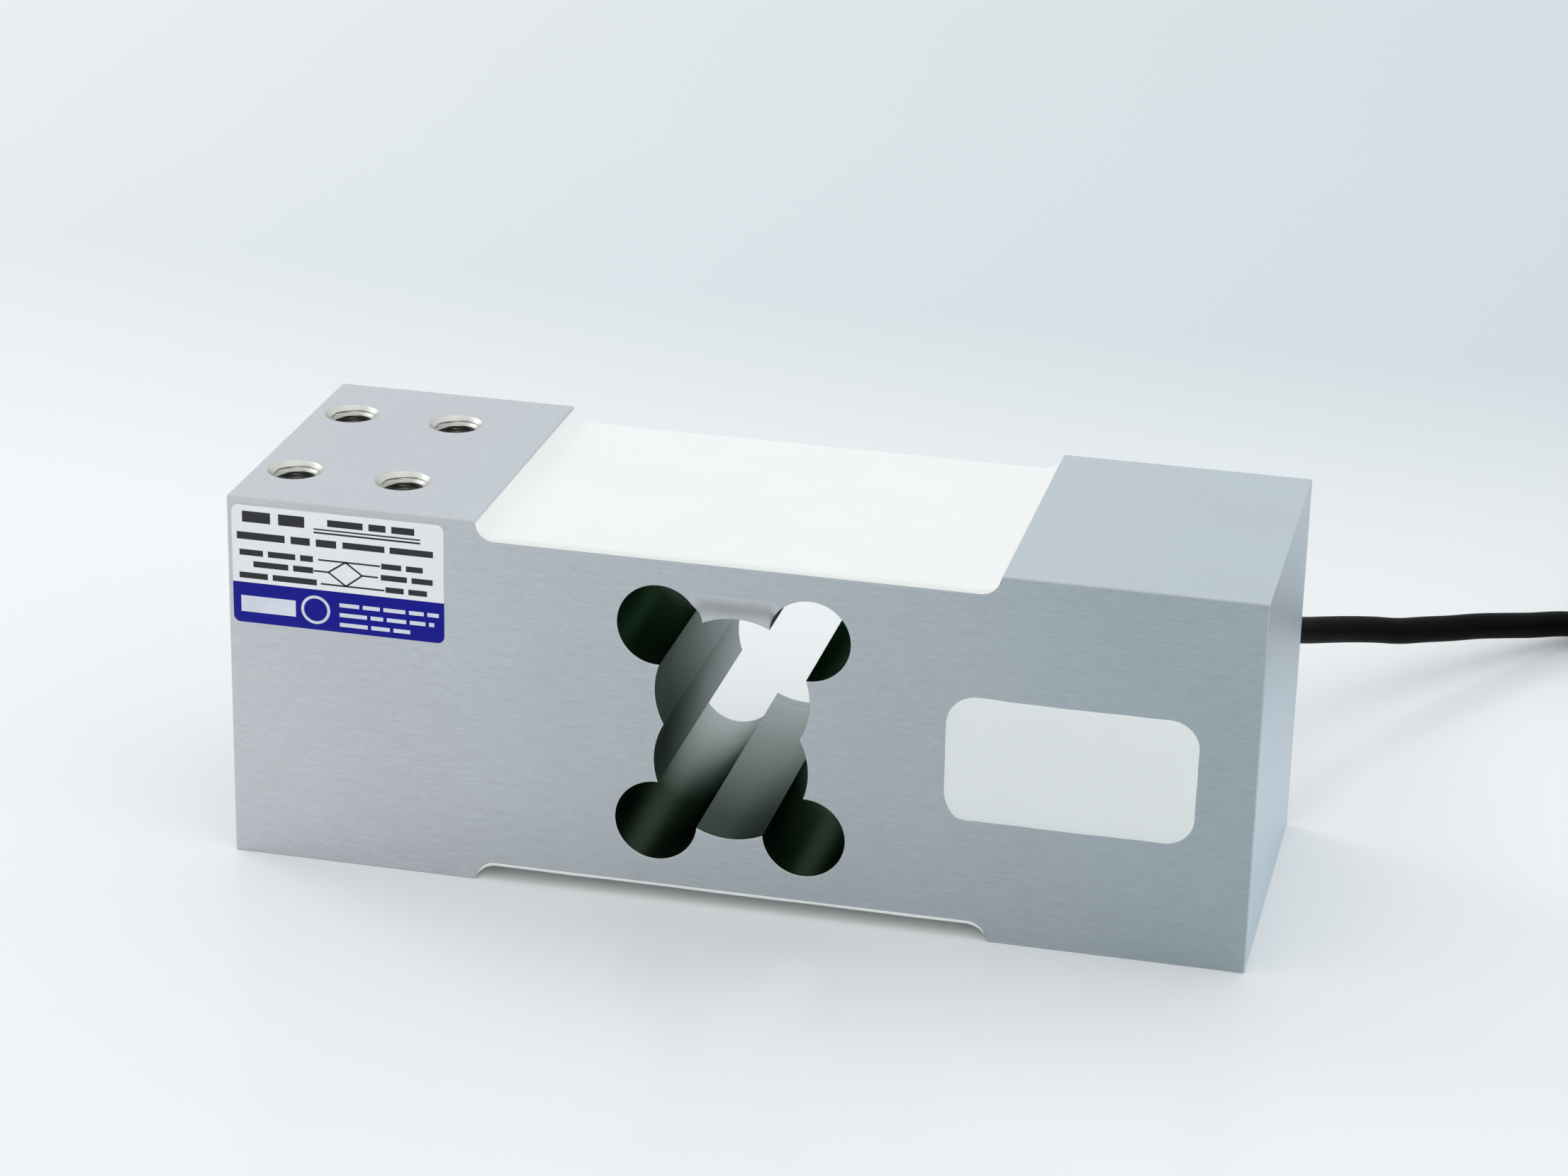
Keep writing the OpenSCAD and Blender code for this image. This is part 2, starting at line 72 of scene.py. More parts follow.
def evenLoop(loop, n):
    # the same closed loop cut anew into n stretches of equal length
    closed = np.vstack([loop, loop[:1]])
    run = np.r_[0, np.cumsum(np.linalg.norm(np.diff(closed, axis=0), axis=1))]
    at = np.linspace(0, run[-1], n, endpoint=False)
    return np.stack([np.interp(at, run, closed[:, k]) for k in range(2)], 1)


def gridQuads(rows, cols, closed=True):
    # quads between neighbouring rows and columns of a grid of points, numbered row by row
    r, c = np.meshgrid(np.arange(rows - 1), np.arange(cols if closed else cols - 1), indexing="ij")
    n = (c + 1) % cols
    here, ahead = r * cols, (r + 1) * cols
    return np.stack([here + c, here + n, ahead + n, ahead + c], -1).reshape(-1, 4)


def inPlane(loop, y):
    # a flat X and Z loop placed at depth y
    return np.stack([loop[:, 0], np.full(len(loop), float(y)), loop[:, 1]], 1)


def filled(loops):
    # triangles between an outer loop and the holes in it
    return np.array(tessellate_polygon([[Vector(p) for p in loop] for loop in loops]))


class Shell:
    # collects patches of points and faces, each with a material number, and makes one mesh of them

    def __init__(self):
        self.points, self.faces, self.slots, self.count = [], [], [], 0

    def add(self, points, faces, slot=0):
        # face numbers start anew in each patch, so they are raised by the count of points so far
        self.points.append(np.asarray(points, float))
        self.faces += (np.asarray(faces) + self.count).tolist()
        self.slots += [slot] * len(faces)
        self.count += len(points)

    def grid(self, rings, slot=0, closed=True):
        # rings of equal length joined by quads
        rings = np.asarray(rings, float)
        self.add(rings.reshape(-1, 3), gridQuads(rings.shape[0], rings.shape[1], closed), slot)

    def face(self, loops, slot=0):
        # a flat face: its outer loop and any holes in it
        self.add(np.concatenate(loops), filled(loops), slot)

    def piece(self, name, finishes, angle=32, merge=2e-6):
        # doubles merged, normals outwards, smooth up to the angle between faces, in degrees
        mesh = bpy.data.meshes.new(name)
        mesh.from_pydata((np.concatenate(self.points) * mm).tolist(), [], self.faces)
        for finish in finishes:
            mesh.materials.append(finish)
        mesh.polygons.foreach_set("material_index", np.array(self.slots, dtype=np.int32))
        work = bmesh.new()
        work.from_mesh(mesh)
        bmesh.ops.remove_doubles(work, verts=work.verts, dist=merge)
        bmesh.ops.dissolve_degenerate(work, edges=work.edges, dist=merge / 2)
        bmesh.ops.recalc_face_normals(work, faces=work.faces)
        work.to_mesh(mesh)
        work.free()
        mesh.polygons.foreach_set("use_smooth", np.ones(len(mesh.polygons), dtype=bool))
        mesh.set_sharp_from_angle(angle=math.radians(angle))
        return linked(name, mesh)


def evenNormals(piece):
    # large flat faces keep their own normal, so that narrow edge breaks don't shade them
    even = piece.modifiers.new("evenNormals", "WEIGHTED_NORMAL")
    even.keep_sharp = True
    even.weight = 100


def sweep(path, radius, sides, lobes=0, twist=0.0):
    # rings square to the path's heading; each point is the centre plus radius times cosine and sine,
    # and with lobes the radius swells and shrinks round the ring and turns along the path
    path = np.asarray(path, float)
    way = np.gradient(path, axis=0)
    way /= np.linalg.norm(way, axis=1, keepdims=True)
    side = np.cross(way, (0, 0, 1))
    side /= np.linalg.norm(side, axis=1, keepdims=True)
    top = np.cross(side, way)
    a = np.radians(np.arange(sides) * 360 / sides)[None, :, None]
    r = np.broadcast_to(np.asarray(radius, float).reshape(-1, 1, 1), (len(path), sides, 1))
    if lobes:
        run = np.r_[0, np.cumsum(np.linalg.norm(np.diff(path, axis=0), axis=1))][:, None, None]
        r = r * (0.84 + 0.16 * np.abs(np.cos((a - twist * run) * lobes / 2)))
    return path[:, None] + r * (np.cos(a) * side[:, None] + np.sin(a) * top[:, None])


def tube(name, path, radius, sides, finish, **how):
    # a sweep with both ends closed
    shell = Shell()
    rings = sweep(path, radius, sides, **how)
    shell.grid(rings)
    for end in (rings[0], rings[-1]):
        shell.face([end])
    return shell.piece(name, [finish], angle=50)


def smoothPath(points, steps):
    # Catmull-Rom curve: each stretch blends its two ends and their neighbours with cubic weights
    p = np.asarray(points, float)
    p = np.vstack([2 * p[0] - p[1], p, 2 * p[-1] - p[-2]])
    t = np.linspace(0, 1, steps, endpoint=False)[:, None]
    parts = []
    for a, b, c, d in zip(p[:-3], p[1:-2], p[2:-1], p[3:]):
        square, cube = (2 * a - 5 * b + 4 * c - d) * t ** 2, (3 * b - a - 3 * c + d) * t ** 3
        parts.append(0.5 * (2 * b + (c - a) * t + square + cube))
    return np.vstack(parts + [p[-2:-1]])


# Camera, at the photograph's own viewpoint

view = dict(place=(144.02, -639.58, 306.96), lens=95.161, sensor=36.0, right=(0.97384, 0.22609, 0.02295),
            down=(0.10424, -0.35467, -0.92916), ahead=(-0.20194, 0.90724, -0.36896))


def placeCamera():
    # its matrix holds the camera's right, up and backward directions as columns, and its place
    lens = bpy.data.cameras.new("camera")
    lens.lens = view["lens"]
    lens.sensor_width = view["sensor"]
    lens.sensor_fit = "HORIZONTAL"
    lens.clip_start = 0.01
    lens.clip_end = 20
    camera = linked("camera", lens)
    turn = np.eye(4)
    turn[:3, 0] = view["right"]
    turn[:3, 1] = -np.array(view["down"])
    turn[:3, 2] = -np.array(view["ahead"])
    turn[:3, 3] = np.array(view["place"]) * mm
    camera.matrix_world = Matrix(turn.tolist())
    bpy.context.scene.camera = camera


placeCamera()
print("camera placed")


# Shader helpers

class Wave:
    # a shader socket that takes part in plain arithmetic; each operation adds one Math node

    def __init__(self, finish, socket):
        self.finish, self.socket = finish, socket

    def math(self, how, other=None, flip=False):
        # one Math node; flip puts the other value first
        pair = [self] if other is None else ([other, self] if flip else [self, other])
        return self.finish.node("ShaderNodeMath", dict(operation=how), *pair)

    # sum, difference and product, each with its reflected form
    def __add__(self, other):
        return self.math("ADD", other)

    def __radd__(self, other):
        return self.math("ADD", other, True)

    def __sub__(self, other):
        return self.math("SUBTRACT", other)

    def __rsub__(self, other):
        return self.math("SUBTRACT", other, True)

    def __mul__(self, other):
        return self.math("MULTIPLY", other)

    def __rmul__(self, other):
        return self.math("MULTIPLY", other, True)

    def under(self, other):
        # 1 where this is less than the other, and 0 elsewhere
        return self.math("LESS_THAN", other)

    def size(self):
        # the value without its sign
        return self.math("ABSOLUTE")

    def ramp(self, low, high, start=0.0, end=1.0):
        # straight line from start at low to end at high, held level outside
        return self.finish.node("ShaderNodeMapRange", dict(clamp=True), self, low, high, start, end)


class Finish:
    # one material, built from nodes by a single method

    def __init__(self, name, **sockets):
        self.material = bpy.data.materials.new(name)
        self.material.use_nodes = True
        self.tree = self.material.node_tree
        self.shader = self.tree.nodes["Principled BSDF"]
        for key, value in sockets.items():
            full = (*value, 1) if isinstance(value, tuple) else value
            self.shader.inputs[names[key]].default_value = full

    def node(self, kind, settings=None, *values, output=0, **named):
        # settings first, then sockets by number or by name: a wave is linked, a number is set
        made = self.tree.nodes.new(kind)
        for key, value in (settings or {}).items():
            setattr(made, key, value)
        for key, value in list(enumerate(values)) + list(named.items()):
            socket = made.inputs[key if isinstance(key, int) else key.replace("_", " ")]
            if isinstance(value, Wave):
                self.tree.links.new(value.socket, socket)
            elif value is not None:
                socket.default_value = value
        return Wave(self, made.outputs[output])

    def place(self, scale=(1, 1, 1), move=(0, 0, 0)):
        # Object coordinates in metres, scaled along each axis
        spot = self.node("ShaderNodeTexCoord", output=3)
        return self.node("ShaderNodeMapping", None, spot, move, (0, 0, 0), scale)

    def axes(self):
        # the three Object coordinates by themselves
        split = self.node("ShaderNodeSeparateXYZ", None, self.node("ShaderNodeTexCoord", output=3))
        return [Wave(self, split.socket.node.outputs[k]) for k in range(3)]

    def noise(self, scale=(1, 1, 1), detail=2.0, rough=0.5, move=(0, 0, 0)):
        # one wave of the pattern is one metre over the scale, along each axis
        return self.node("ShaderNodeTexNoise", None, Vector=self.place(scale, move), Scale=1.0, Detail=detail,
                         Roughness=rough)

    def blend(self, factor, a, b):
        # colours mixed by a factor; each of the three may be a wave or a constant
        mixed = self.node("ShaderNodeMix", dict(data_type="RGBA"), output=2)
        made = mixed.socket.node
        for key, value in ((0, factor), (6, a), (7, b)):
            if isinstance(value, Wave):
                self.tree.links.new(value.socket, made.inputs[key])
            else:
                made.inputs[key].default_value = value if key == 0 else (*value, 1)
        return mixed

    def feed(self, **links):
        # waves into the shader's sockets
        for key, wave in links.items():
            self.tree.links.new(wave.socket, self.shader.inputs[names[key]])

    def bump(self, height, distance, strength=1.0):
        # distance is in metres
        raised = self.node("ShaderNodeBump", None, Strength=strength, Distance=distance, Height=height)
        self.feed(normal=raised)


names = dict(color="Base Color", metal="Metallic", rough="Roughness", normal="Normal", ior="IOR",
             spec="Specular IOR Level", edge="Specular Tint")


def metalFinish(name, tone, rough, grain, depth, streak=0.05, spread=0.06, far=None, run="length",
                start=-0.022, graze=(1, 1, 1), speck=0.0):
    # aluminium with a directional grain: fine and coarse stretched noise, in tone, roughness and relief;
    # far is the tone at the other end of its run, and the slide to it is painted light and shade: along the
    # length a painted reflection, where the cable end mirrors a darker part of the room; through the bores
    # painted light, where the back is lighter; and down a tapped hole painted shade, where the light is lost;
    # graze tints what is seen at a low angle, and speck adds fine dust marks and a few pits
    finish = Finish(name, color=tone, metal=1.0, rough=rough, edge=graze)
    fine = finish.noise(grain, 3.0, 0.6)
    wide = finish.noise(tuple(g * 0.3 for g in grain), 2.0, 0.5, (3, 1, 2))
    cloud = finish.noise((38, 38, 38), 2.0, 0.5, (1, 5, 2))
    mixed = fine * 0.65 + wide * 0.35
    shade = mixed.ramp(0.3, 0.7, 1 - streak, 1 + streak) * cloud.ramp(0.3, 0.7, 0.985, 1.015)
    if speck:
        dust = finish.noise((3600, 3600, 4400), 2.0, 0.7, (4, 2, 7))
        pits = finish.noise((2100, 2100, 2300), 0.0, 0.5, (8, 3, 5))
        shade = shade * dust.ramp(0.3, 0.7, 1 - speck, 1 + speck) * (1 - pits.ramp(0.865, 0.90) * 0.35)
    if far:
        # painted light and shade: the colour slides from tone to far along the run
        x, y, z = finish.axes()
        height = z - 0.0325  # above mid height
        if run == "length":
            slope = (x + height * 0.3).ramp(-0.085, 0.08)
        elif run == "through":
            slope = y.ramp(start, 0.030)
        else:
            slope = height.size().ramp(0.0317, 0.0295)
        tones = [finish.blend(slope, *[tuple(c * k for c in ends) for ends in (tone, far)])
                 for k in (0.5, 1.5)]
    else:
        tones = [tuple(min(1.0, c * k) for c in tone) for k in (0.5, 1.5)]
    finish.feed(color=finish.blend(shade - 0.5, *tones))
    finish.feed(rough=mixed.ramp(0.3, 0.7, rough - spread, rough + spread))
    finish.bump(mixed, depth)
    return finish.material


def plainFinish(name, tone, rough, bumpScale=900, depth=0.00001, metal=0.0, vary=0.06, **more):
    # one colour, gently clouded, with fine relief
    finish = Finish(name, color=tone, rough=rough, metal=metal, **more)
    cloud = finish.noise((bumpScale / 9,) * 3, 2.0, 0.5)
    fine = finish.noise((bumpScale,) * 3, 3.0, 0.6)
    low = tuple(max(0.0, c * (1 - vary)) for c in tone)
    high = tuple(min(1.0, c * (1 + vary)) for c in tone)
    finish.feed(color=finish.blend(cloud.ramp(0.3, 0.7), low, high))
    finish.feed(rough=fine.ramp(0.3, 0.7, max(0.02, rough - 0.04), min(1.0, rough + 0.04)))
    finish.bump(fine, depth)
    return finish.material


metals = dict(
    # flank, seat, end and edge break keep their ground grain, and their tones slide along the block, and a
    # little with height, to their far tones: a painted reflection of the room, darker and bluer towards the
    # cable end on the flank
    flank=metalFinish("flankGroundPaintedReflection", (0.60, 0.615, 0.645), 0.42, (560, 560, 5200), 0.000006, 0.11,
                      far=(0.38, 0.44, 0.475), speck=0.09),
    seat=metalFinish("seatGroundPaintedReflection", (0.64, 0.66, 0.69), 0.45, (1500, 1700, 1700), 0.000004, 0.04,
                     far=(0.585, 0.65, 0.70), speck=0.06),
    end=metalFinish("endGroundPaintedReflection", (0.61, 0.635, 0.665), 0.40, (3000, 560, 5200), 0.000005, 0.08,
                    far=(0.60, 0.69, 0.77), speck=0.07),
    # bore and clearance walls: aluminium painted near black as painted shade, lighter towards the back of the
    # block as painted light, with the low-angle reflection tinted down as further painted shade
    bore=metalFinish("boreWallPaintedLightAndShade", (0.07, 0.092, 0.07), 0.38, (70, 5200, 70), 0.000010, 0.12,
                     far=(0.50, 0.55, 0.55), run="through", start=-0.006, graze=(0.25, 0.29, 0.27)),
    # tapped holes: a light tone at the countersink, then painted shade, near black, down the thread
    thread=metalFinish("threadCutPaintedShade", (0.70, 0.70, 0.665), 0.42, (700, 700, 2600), 0.000004, 0.03,
                       far=(0.06, 0.065, 0.052), run="down", graze=(0.5, 0.5, 0.46)),
    clear=metalFinish("clearanceWallPaintedLightAndShade", (0.11, 0.135, 0.12), 0.42, (60, 4200, 60), 0.000012, 0.18,
                      far=(0.46, 0.50, 0.50), run="through", graze=(0.45, 0.5, 0.49)),
    edge=metalFinish("edgeBreakPaintedReflection", (0.62, 0.64, 0.66), 0.40, (900, 900, 900), 0.000002, 0.02,
                     far=(0.50, 0.54, 0.57)),
    filed=metalFinish("scallopFiled", (0.57, 0.59, 0.615), 0.52, (300, 1500, 1500), 0.000003, 0.03),
)
finishes = dict(
    white=plainFinish("whiteSilicone", (0.925, 0.94, 0.925), 0.34, 420, 0.00002, vary=0.012),
    # the window's silicone is the same compound as the white silicone, set darker and bluer on the front
    # face: painted shade
    fill=plainFinish("pocketSilicone", (0.83, 0.86, 0.865), 0.36, 420, 0.00002, vary=0.012),
    jacket=plainFinish("cableJacket", (0.0028, 0.0028, 0.003), 0.5, 2600, 0.000012, spec=0.08, ior=1.3),
    bush=plainFinish("bushRubber", (0.022, 0.022, 0.023), 0.55, 2000, 0.00001),
    tie=plainFinish("tieNylon", (0.03, 0.03, 0.031), 0.38, 1500, 0.000006),
    sleeve=plainFinish("shrinkSleeve", (0.02, 0.02, 0.021), 0.5, 1400, 0.00001),
    tinned=plainFinish("tinnedCopper", (0.70, 0.70, 0.71), 0.32, 3000, 0.000004, 1.0),
    foil=plainFinish("gaugeFilm", (0.62, 0.42, 0.16), 0.4, 900),
    terminal=plainFinish("terminalStrip", (0.10, 0.28, 0.14), 0.45, 900),
    enamel=plainFinish("leadEnamel", (0.55, 0.28, 0.12), 0.3, 900, metal=0.6),
    jumper=plainFinish("wireRed", (0.55, 0.08, 0.06), 0.45, 900),
    nickel=plainFinish("nickelFoil", (0.60, 0.58, 0.52), 0.35, 900, metal=1.0),
    pad=plainFinish("adhesivePad", (0.25, 0.25, 0.26), 0.7, 500),
    board=plainFinish("boardGreen", (0.08, 0.30, 0.16), 0.35, 700),
    resistor=plainFinish("resistorLacquer", (0.35, 0.55, 0.68), 0.3, 700),
    solder=plainFinish("solderJoint", (0.72, 0.72, 0.73), 0.25, 900, metal=1.0),
    cores=plainFinish("coreGrey", (0.45, 0.46, 0.48), 0.45, 900),
)
coreTones = dict(red=(0.62, 0.04, 0.03), black=(0.03, 0.03, 0.03), green=(0.04, 0.38, 0.10),
                 white=(0.85, 0.85, 0.83), blue=(0.04, 0.12, 0.55), yellow=(0.85, 0.70, 0.05))
print("finishes ready")


# Cable, its coil and its end; the route counts from the exit

cable = dict(radius=2.5, exit=(73, 30, 29.5), leadIn=(24, 8), length=2.0)
route = [
    (0, 8.5, 29.5), (0.25, 15.5, 29), (1.25, 22.25, 27.5), (3, 28.75, 25.5), (5, 35, 23),
    (7.75, 41, 20.5), (10.75, 47, 18.25), (14.25, 52.75, 16.5), (18, 58.5, 14.75), (22.25, 64, 13),
    (26.5, 69, 11.25), (31, 74.25, 10), (35.75, 79.5, 8.75), (40.5, 84.5, 7.75), (45.5, 89.5, 6.5),
    (50.25, 94.25, 5.25), (55.25, 99, 4.25), (60.5, 103.75, 3), (65.5, 108.5, 2.5),
]
tailRoute = [(154.3, 95, 2.5), (153.5, 85.5, 2.5), (151.5, 77, 2.7), (149.5, 71, 2.9), (148.5, 68, 2.9)]
reach = (146.2, 146.0, 2.8)  # between the route and the coil, in the frame of the solids
coil = dict(x=182, y=125, base=3.1, entry=135, jog=60, lower=(40, 35, 30, 25, 20),
            upper=(22.5, 27.5, 32.5, 37.5), last=40.0, nest=4.42, step=5.0, perTurn=24, rollR=5.0,
            rollReach=5.3, rollEnd=2.5)


def ease(t):
    # rises from 0 to 1 with level ends: three t squared less two t cubed
    t = np.clip(t, 0, 1)
    return t * t * (3 - 2 * t)


def coilPath():
    # radius holds along each turn and shifts by one pitch over the jog;
    # height lifts in the jogs, where turns cross
    turns = list(coil["lower"]) + list(coil["upper"]) + [coil["last"]]
    n, jog = len(turns) - 1, coil["jog"] / 360
    run = np.arange(0, (n + jog) * coil["perTurn"] + 0.5) / coil["perTurn"]
    k = np.minimum(run.astype(int), n)
    part = run - k
    shift = ease((part - (1 - jog)) / jog)
    nextTurn = np.minimum(k + 1, n)
    t = np.array(turns, float)
    r = t[k] + (t[nextTurn] - t[k]) * shift
    lows = len(coil["lower"])
    climb = ease((run - (lows - 0.45)) / 0.33)
    crossing = np.maximum(ease((part - (1 - jog - 0.06)) / 0.06), 1 - ease(part / 0.06))
    nest = coil["nest"] + (coil["step"] - coil["nest"]) * crossing
    level = np.where(run > n - jog, coil["step"], nest)
    z = coil["base"] + climb * level
    a = np.radians(coil["entry"] - 360 * run)
    turnsPart = np.stack([coil["x"] + r * np.cos(a), coil["y"] + r * np.sin(a), z], 1)
    # the end rolls over the outer turn: an arc of one diameter round that turn's centre
    roll = np.linspace(0, 1, 9)[1:]
    over = np.radians(96.9) * ease(roll)
    angle = np.radians(75 - 75 * roll)
    out = coil["last"] + coil["rollReach"] * np.sin(over)
    height = coil["base"] + coil["rollR"] * np.cos(over)
    rollPart = np.stack([coil["x"] + out * np.cos(angle), coil["y"] + out * np.sin(angle), height], 1)
    rollPart[-1, 2] = coil["rollEnd"]
    return turnsPart, rollPart


def buildCable():
    # one curve through the bore, the route, the coil's turns, the roll over them and the tail
    ex, ey, ez = cable["exit"]
    leadIn = [(ex, ey - depth, ez) for depth in cable["leadIn"]]
    along = [(ex + x, ey + y, z) for x, y, z in route]
    turnsPart, rollPart = coilPath()
    tail = [(ex + x, ey + y, z) for x, y, z in tailRoute[1:]]  # the roll ends by the first one
    points = np.vstack([leadIn, along, [reach], turnsPart, rollPart, tail]) * mm
    curve = bpy.data.curves.new("signalCable", "CURVE")
    curve.dimensions = "3D"
    curve.resolution_u = 5
    curve.bevel_depth = cable["radius"] * mm
    curve.bevel_resolution = 5
    curve.use_fill_caps = True
    line = curve.splines.new("BEZIER")
    line.bezier_points.add(len(points) - 1)
    line.bezier_points.foreach_set("co", points.ravel())
    for spot in line.bezier_points:
        spot.handle_left_type = spot.handle_right_type = "AUTO"
    curve.materials.append(finishes["jacket"])
    length = np.linalg.norm(np.diff(points, axis=0), axis=1).sum()
    print("cable points", len(points), "chord length", round(float(length), 3))
    return linked("signalCable", curve)


cord = buildCable()

tieShape = dict(inner=17.5, outer=42.5, low=0.6, high=10.6, round=2.4, thick=0.6, width=4.8, turn=-95,
                headWide=5.2, headHigh=4.4, strapWide=3.4, strapHigh=3.0, strapUp=1.9)


def roundedLoop(cx, cz, length, height, r, perCorner, grow=0.0):
    # four quarter arcs joined by straight sides, counterclockwise, pushed out by grow
    r = max(r + grow, 0.0)
    hx, hz = length / 2 + grow - r, height / 2 + grow - r
    corners = [(hx, hz, 0), (-hx, hz, 90), (-hx, -hz, 180), (hx, -hz, 270)]
    return np.vstack([arc(cx + x, cz + z, r, a, a + 90, perCorner) for x, z, a in corners])


def buildTie():
    # a band: the coil's rounded outline pushed out by its thickness, carried straight across the width
    t = tieShape
    mid, width = (t["inner"] + t["outer"]) / 2, t["outer"] - t["inner"]
    tall, level = t["high"] - t["low"], (t["high"] + t["low"]) / 2
    a = math.radians(t["turn"])
    along, across = np.array([math.cos(a), math.sin(a), 0]), np.array([-math.sin(a), math.cos(a), 0])
    up = np.array([0, 0, 1.0])
    hub = np.array([coil["x"], coil["y"], 0])
    shell = Shell()
    outer = roundedLoop(mid, level, width, tall, t["round"], 8, t["thick"] - 0.02)
    inner = roundedLoop(mid, level, width, tall, t["round"], 8, 0.03)

    def rings(loop):
        # hub plus the radius along, the offset across and the height up
        return np.stack([hub + along * loop[:, :1] + up * loop[:, 1:] + across * w
                         for w in np.linspace(-t["width"] / 2, t["width"] / 2, 5)])

    out, into = rings(outer), rings(inner)
    shell.grid(out)
    shell.grid(into[:, ::-1])
    for end in (0, -1):
        shell.grid(np.stack([out[end], into[end]]))
    band = shell.piece("tieBand", [finishes["tie"]], 40)
    # head: rounded rings stacked outwards and turned into a shallow pocket, with the strap's cut end above it
    head = Shell()
    start = hub + up * level + along * (t["outer"] + t["thick"] / 2 + 0.35)

    def stack(steps, wide, high, r, origin):
        # each step is a distance outwards and how far the outline grows there
        loops = []
        for depth, size in steps:
            flat = roundedLoop(0, 0, wide, high, r, 6, size)
            loops.append(origin + along * depth + flat[:, :1] * across + flat[:, 1:] * up)
        head.grid(loops)
        head.face([loops[0]])
        head.face([loops[-1]])

    headSteps = ((0, -0.5), (0.15, -0.12), (0.5, 0), (2.7, 0), (3.05, -0.14), (3.2, -0.5), (3.2, -0.95),
                 (2.6, -1.1))
    strapSteps = ((1.1, -0.12), (1.2, 0), (2.1, 0), (2.2, -0.12))
    stack(headSteps, t["headWide"], t["headHigh"], 0.9, start)
    stack(strapSteps, t["strapWide"], t["strapHigh"], 0.3, start + up * t["strapUp"])
    return [band, head.piece("tieHead", [finishes["tie"]], 40)]


bushShape = dict(ribs=4, ribR=4.0, taper=0.24, pitch=1.42, ribStart=1.25, sides=48)


def buildBush():
    # outline turned about the cable, as radius and distance out of the face: plug, collar with an
    # eased rim, and ribs that step in by the taper
    b = bushShape
    profile = [(2.52, -6), (4.3, -6), (4.5, -5.8), (4.5, 0.02), (5.3, 0.02), (5.5, 0.15), (5.5, 0.8),
               (5.3, 1.1), (5.0, 1.2), (4.1, 1.25)]
    for k in range(b["ribs"]):
        r, z = b["ribR"] - b["taper"] * k, b["ribStart"] + b["pitch"] * k
        profile += [(r, z + 0.12), (r, z + 0.72), (r - 0.12, z + 0.84), (r - 0.45, z + 0.9),
                    (r - 0.5, z + 1.3)]
    profile += [(3.2, 7.0), (3.1, 7.18), (2.9, 7.2), (2.52, 7.2)]
    spots = np.array(profile)
    a = np.radians(np.arange(b["sides"]) * 360 / b["sides"])
    ex, ey, ez = cable["exit"]
    out = np.broadcast_to(ey + spots[:, 1:], (len(spots), b["sides"]))
    rings = np.stack([ex + spots[:, :1] * np.cos(a), out, ez + spots[:, :1] * np.sin(a)], -1)
    shell = Shell()
    shell.grid(np.concatenate([rings, rings[:1]]))
    return shell.piece("cableBush", [finishes["bush"]], 30)


# places 0 to 6 across the end: the shield wire lies in the middle one, and the cores in the others
cableEnd = dict(place=np.array([221.5, 98, 2.9]), heading=np.array([-1.0, -3.0, 0]) / math.sqrt(10),
                sleeve=10, turn=-110, spread=10, apart=0.6, layer=0.75, low=0.56, coreR=0.55, drainR=0.44,
                tinR=0.3, tin=6,
                cores=((0, "red"), (1, "black"), (2, "green"), (4, "white"), (5, "blue"), (6, "yellow")))


def endPath(k):
    # the path of one core: out of the sleeve, down to the surface, and out along its own heading
    e = cableEnd
    way, aside = e["heading"], k - 3
    start = e["place"] + e["sleeve"] * way + aside * e["apart"] * np.array([-way[1], way[0], 0])
    start[2] += -e["layer"] if k % 2 == 0 else e["layer"]
    a = math.radians(e["turn"] + aside * e["spread"])
    out, low = np.array([math.cos(a), math.sin(a), 0]), e["low"]
    flat = np.array([start[0], start[1], 0])
    return [start, start + 3 * way, flat + 8 * out + [0, 0, low + 0.8], flat + 13 * out + [0, 0, low],
            flat + 20 * out + [0, 0, low], flat + 28 * out + [0, 0, low]], out


def buildCableEnd():
    # sleeve, six cores with twisted tinned ends, and the shield wire;
    # a strand's radius waves round it and turns along it
    pieces, e = [], cableEnd
    run = np.array([0, 0.25, 0.7, 2, 5, 8, 9.3, 9.75, 10])
    girth = np.array([2.45, 2.7, 2.85, 2.88, 2.8, 2.84, 2.86, 2.72, 2.5])
    sleeve = tube("jacketSleeve", e["place"] + run[:, None] * e["heading"], girth, 32, finishes["sleeve"])
    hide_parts("jacket_sleeve")
    pieces.append(sleeve)
    ends = Shell()
    for k, tone in e["cores"]:
        points, out = endPath(k)
        skin = plainFinish("core" + tone.capitalize(), coreTones[tone], 0.42, 1200, 0.000006)
        core = tube("core" + tone.capitalize(), smoothPath(points, 6), e["coreR"], 16, skin)
        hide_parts("core_" + tone)
        pieces.append(core)
        last = np.array(points[-1])
        strand = sweep(last + out * np.linspace(0, e["tin"], 25)[:, None], e["tinR"], 18, lobes=6, twist=1.1)
        ends.grid(strand)
        ends.face([strand[0]])
        ends.face([strand[-1]])
    tins = ends.piece("tinnedEnds", [finishes["tinned"]], 60)
    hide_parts("tinned_core_ends")
    drainPoints, _ = endPath(3)
    drain = tube("shieldDrain", smoothPath(drainPoints, 14), e["drainR"], 20, finishes["tinned"],
                 lobes=7, twist=0.9)
    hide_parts("shield_drain")
    return pieces + [tins, drain]


tiePieces = buildTie()
bush = buildBush()
endPieces = buildCableEnd()
for piece in [cord, bush] + tiePieces + endPieces:
    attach(piece, "root")
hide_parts("signal_cable", "cable_coil", "cable_tail")
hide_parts("cable_bush")
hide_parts("cable_tie")
print("cable laid")


# Block

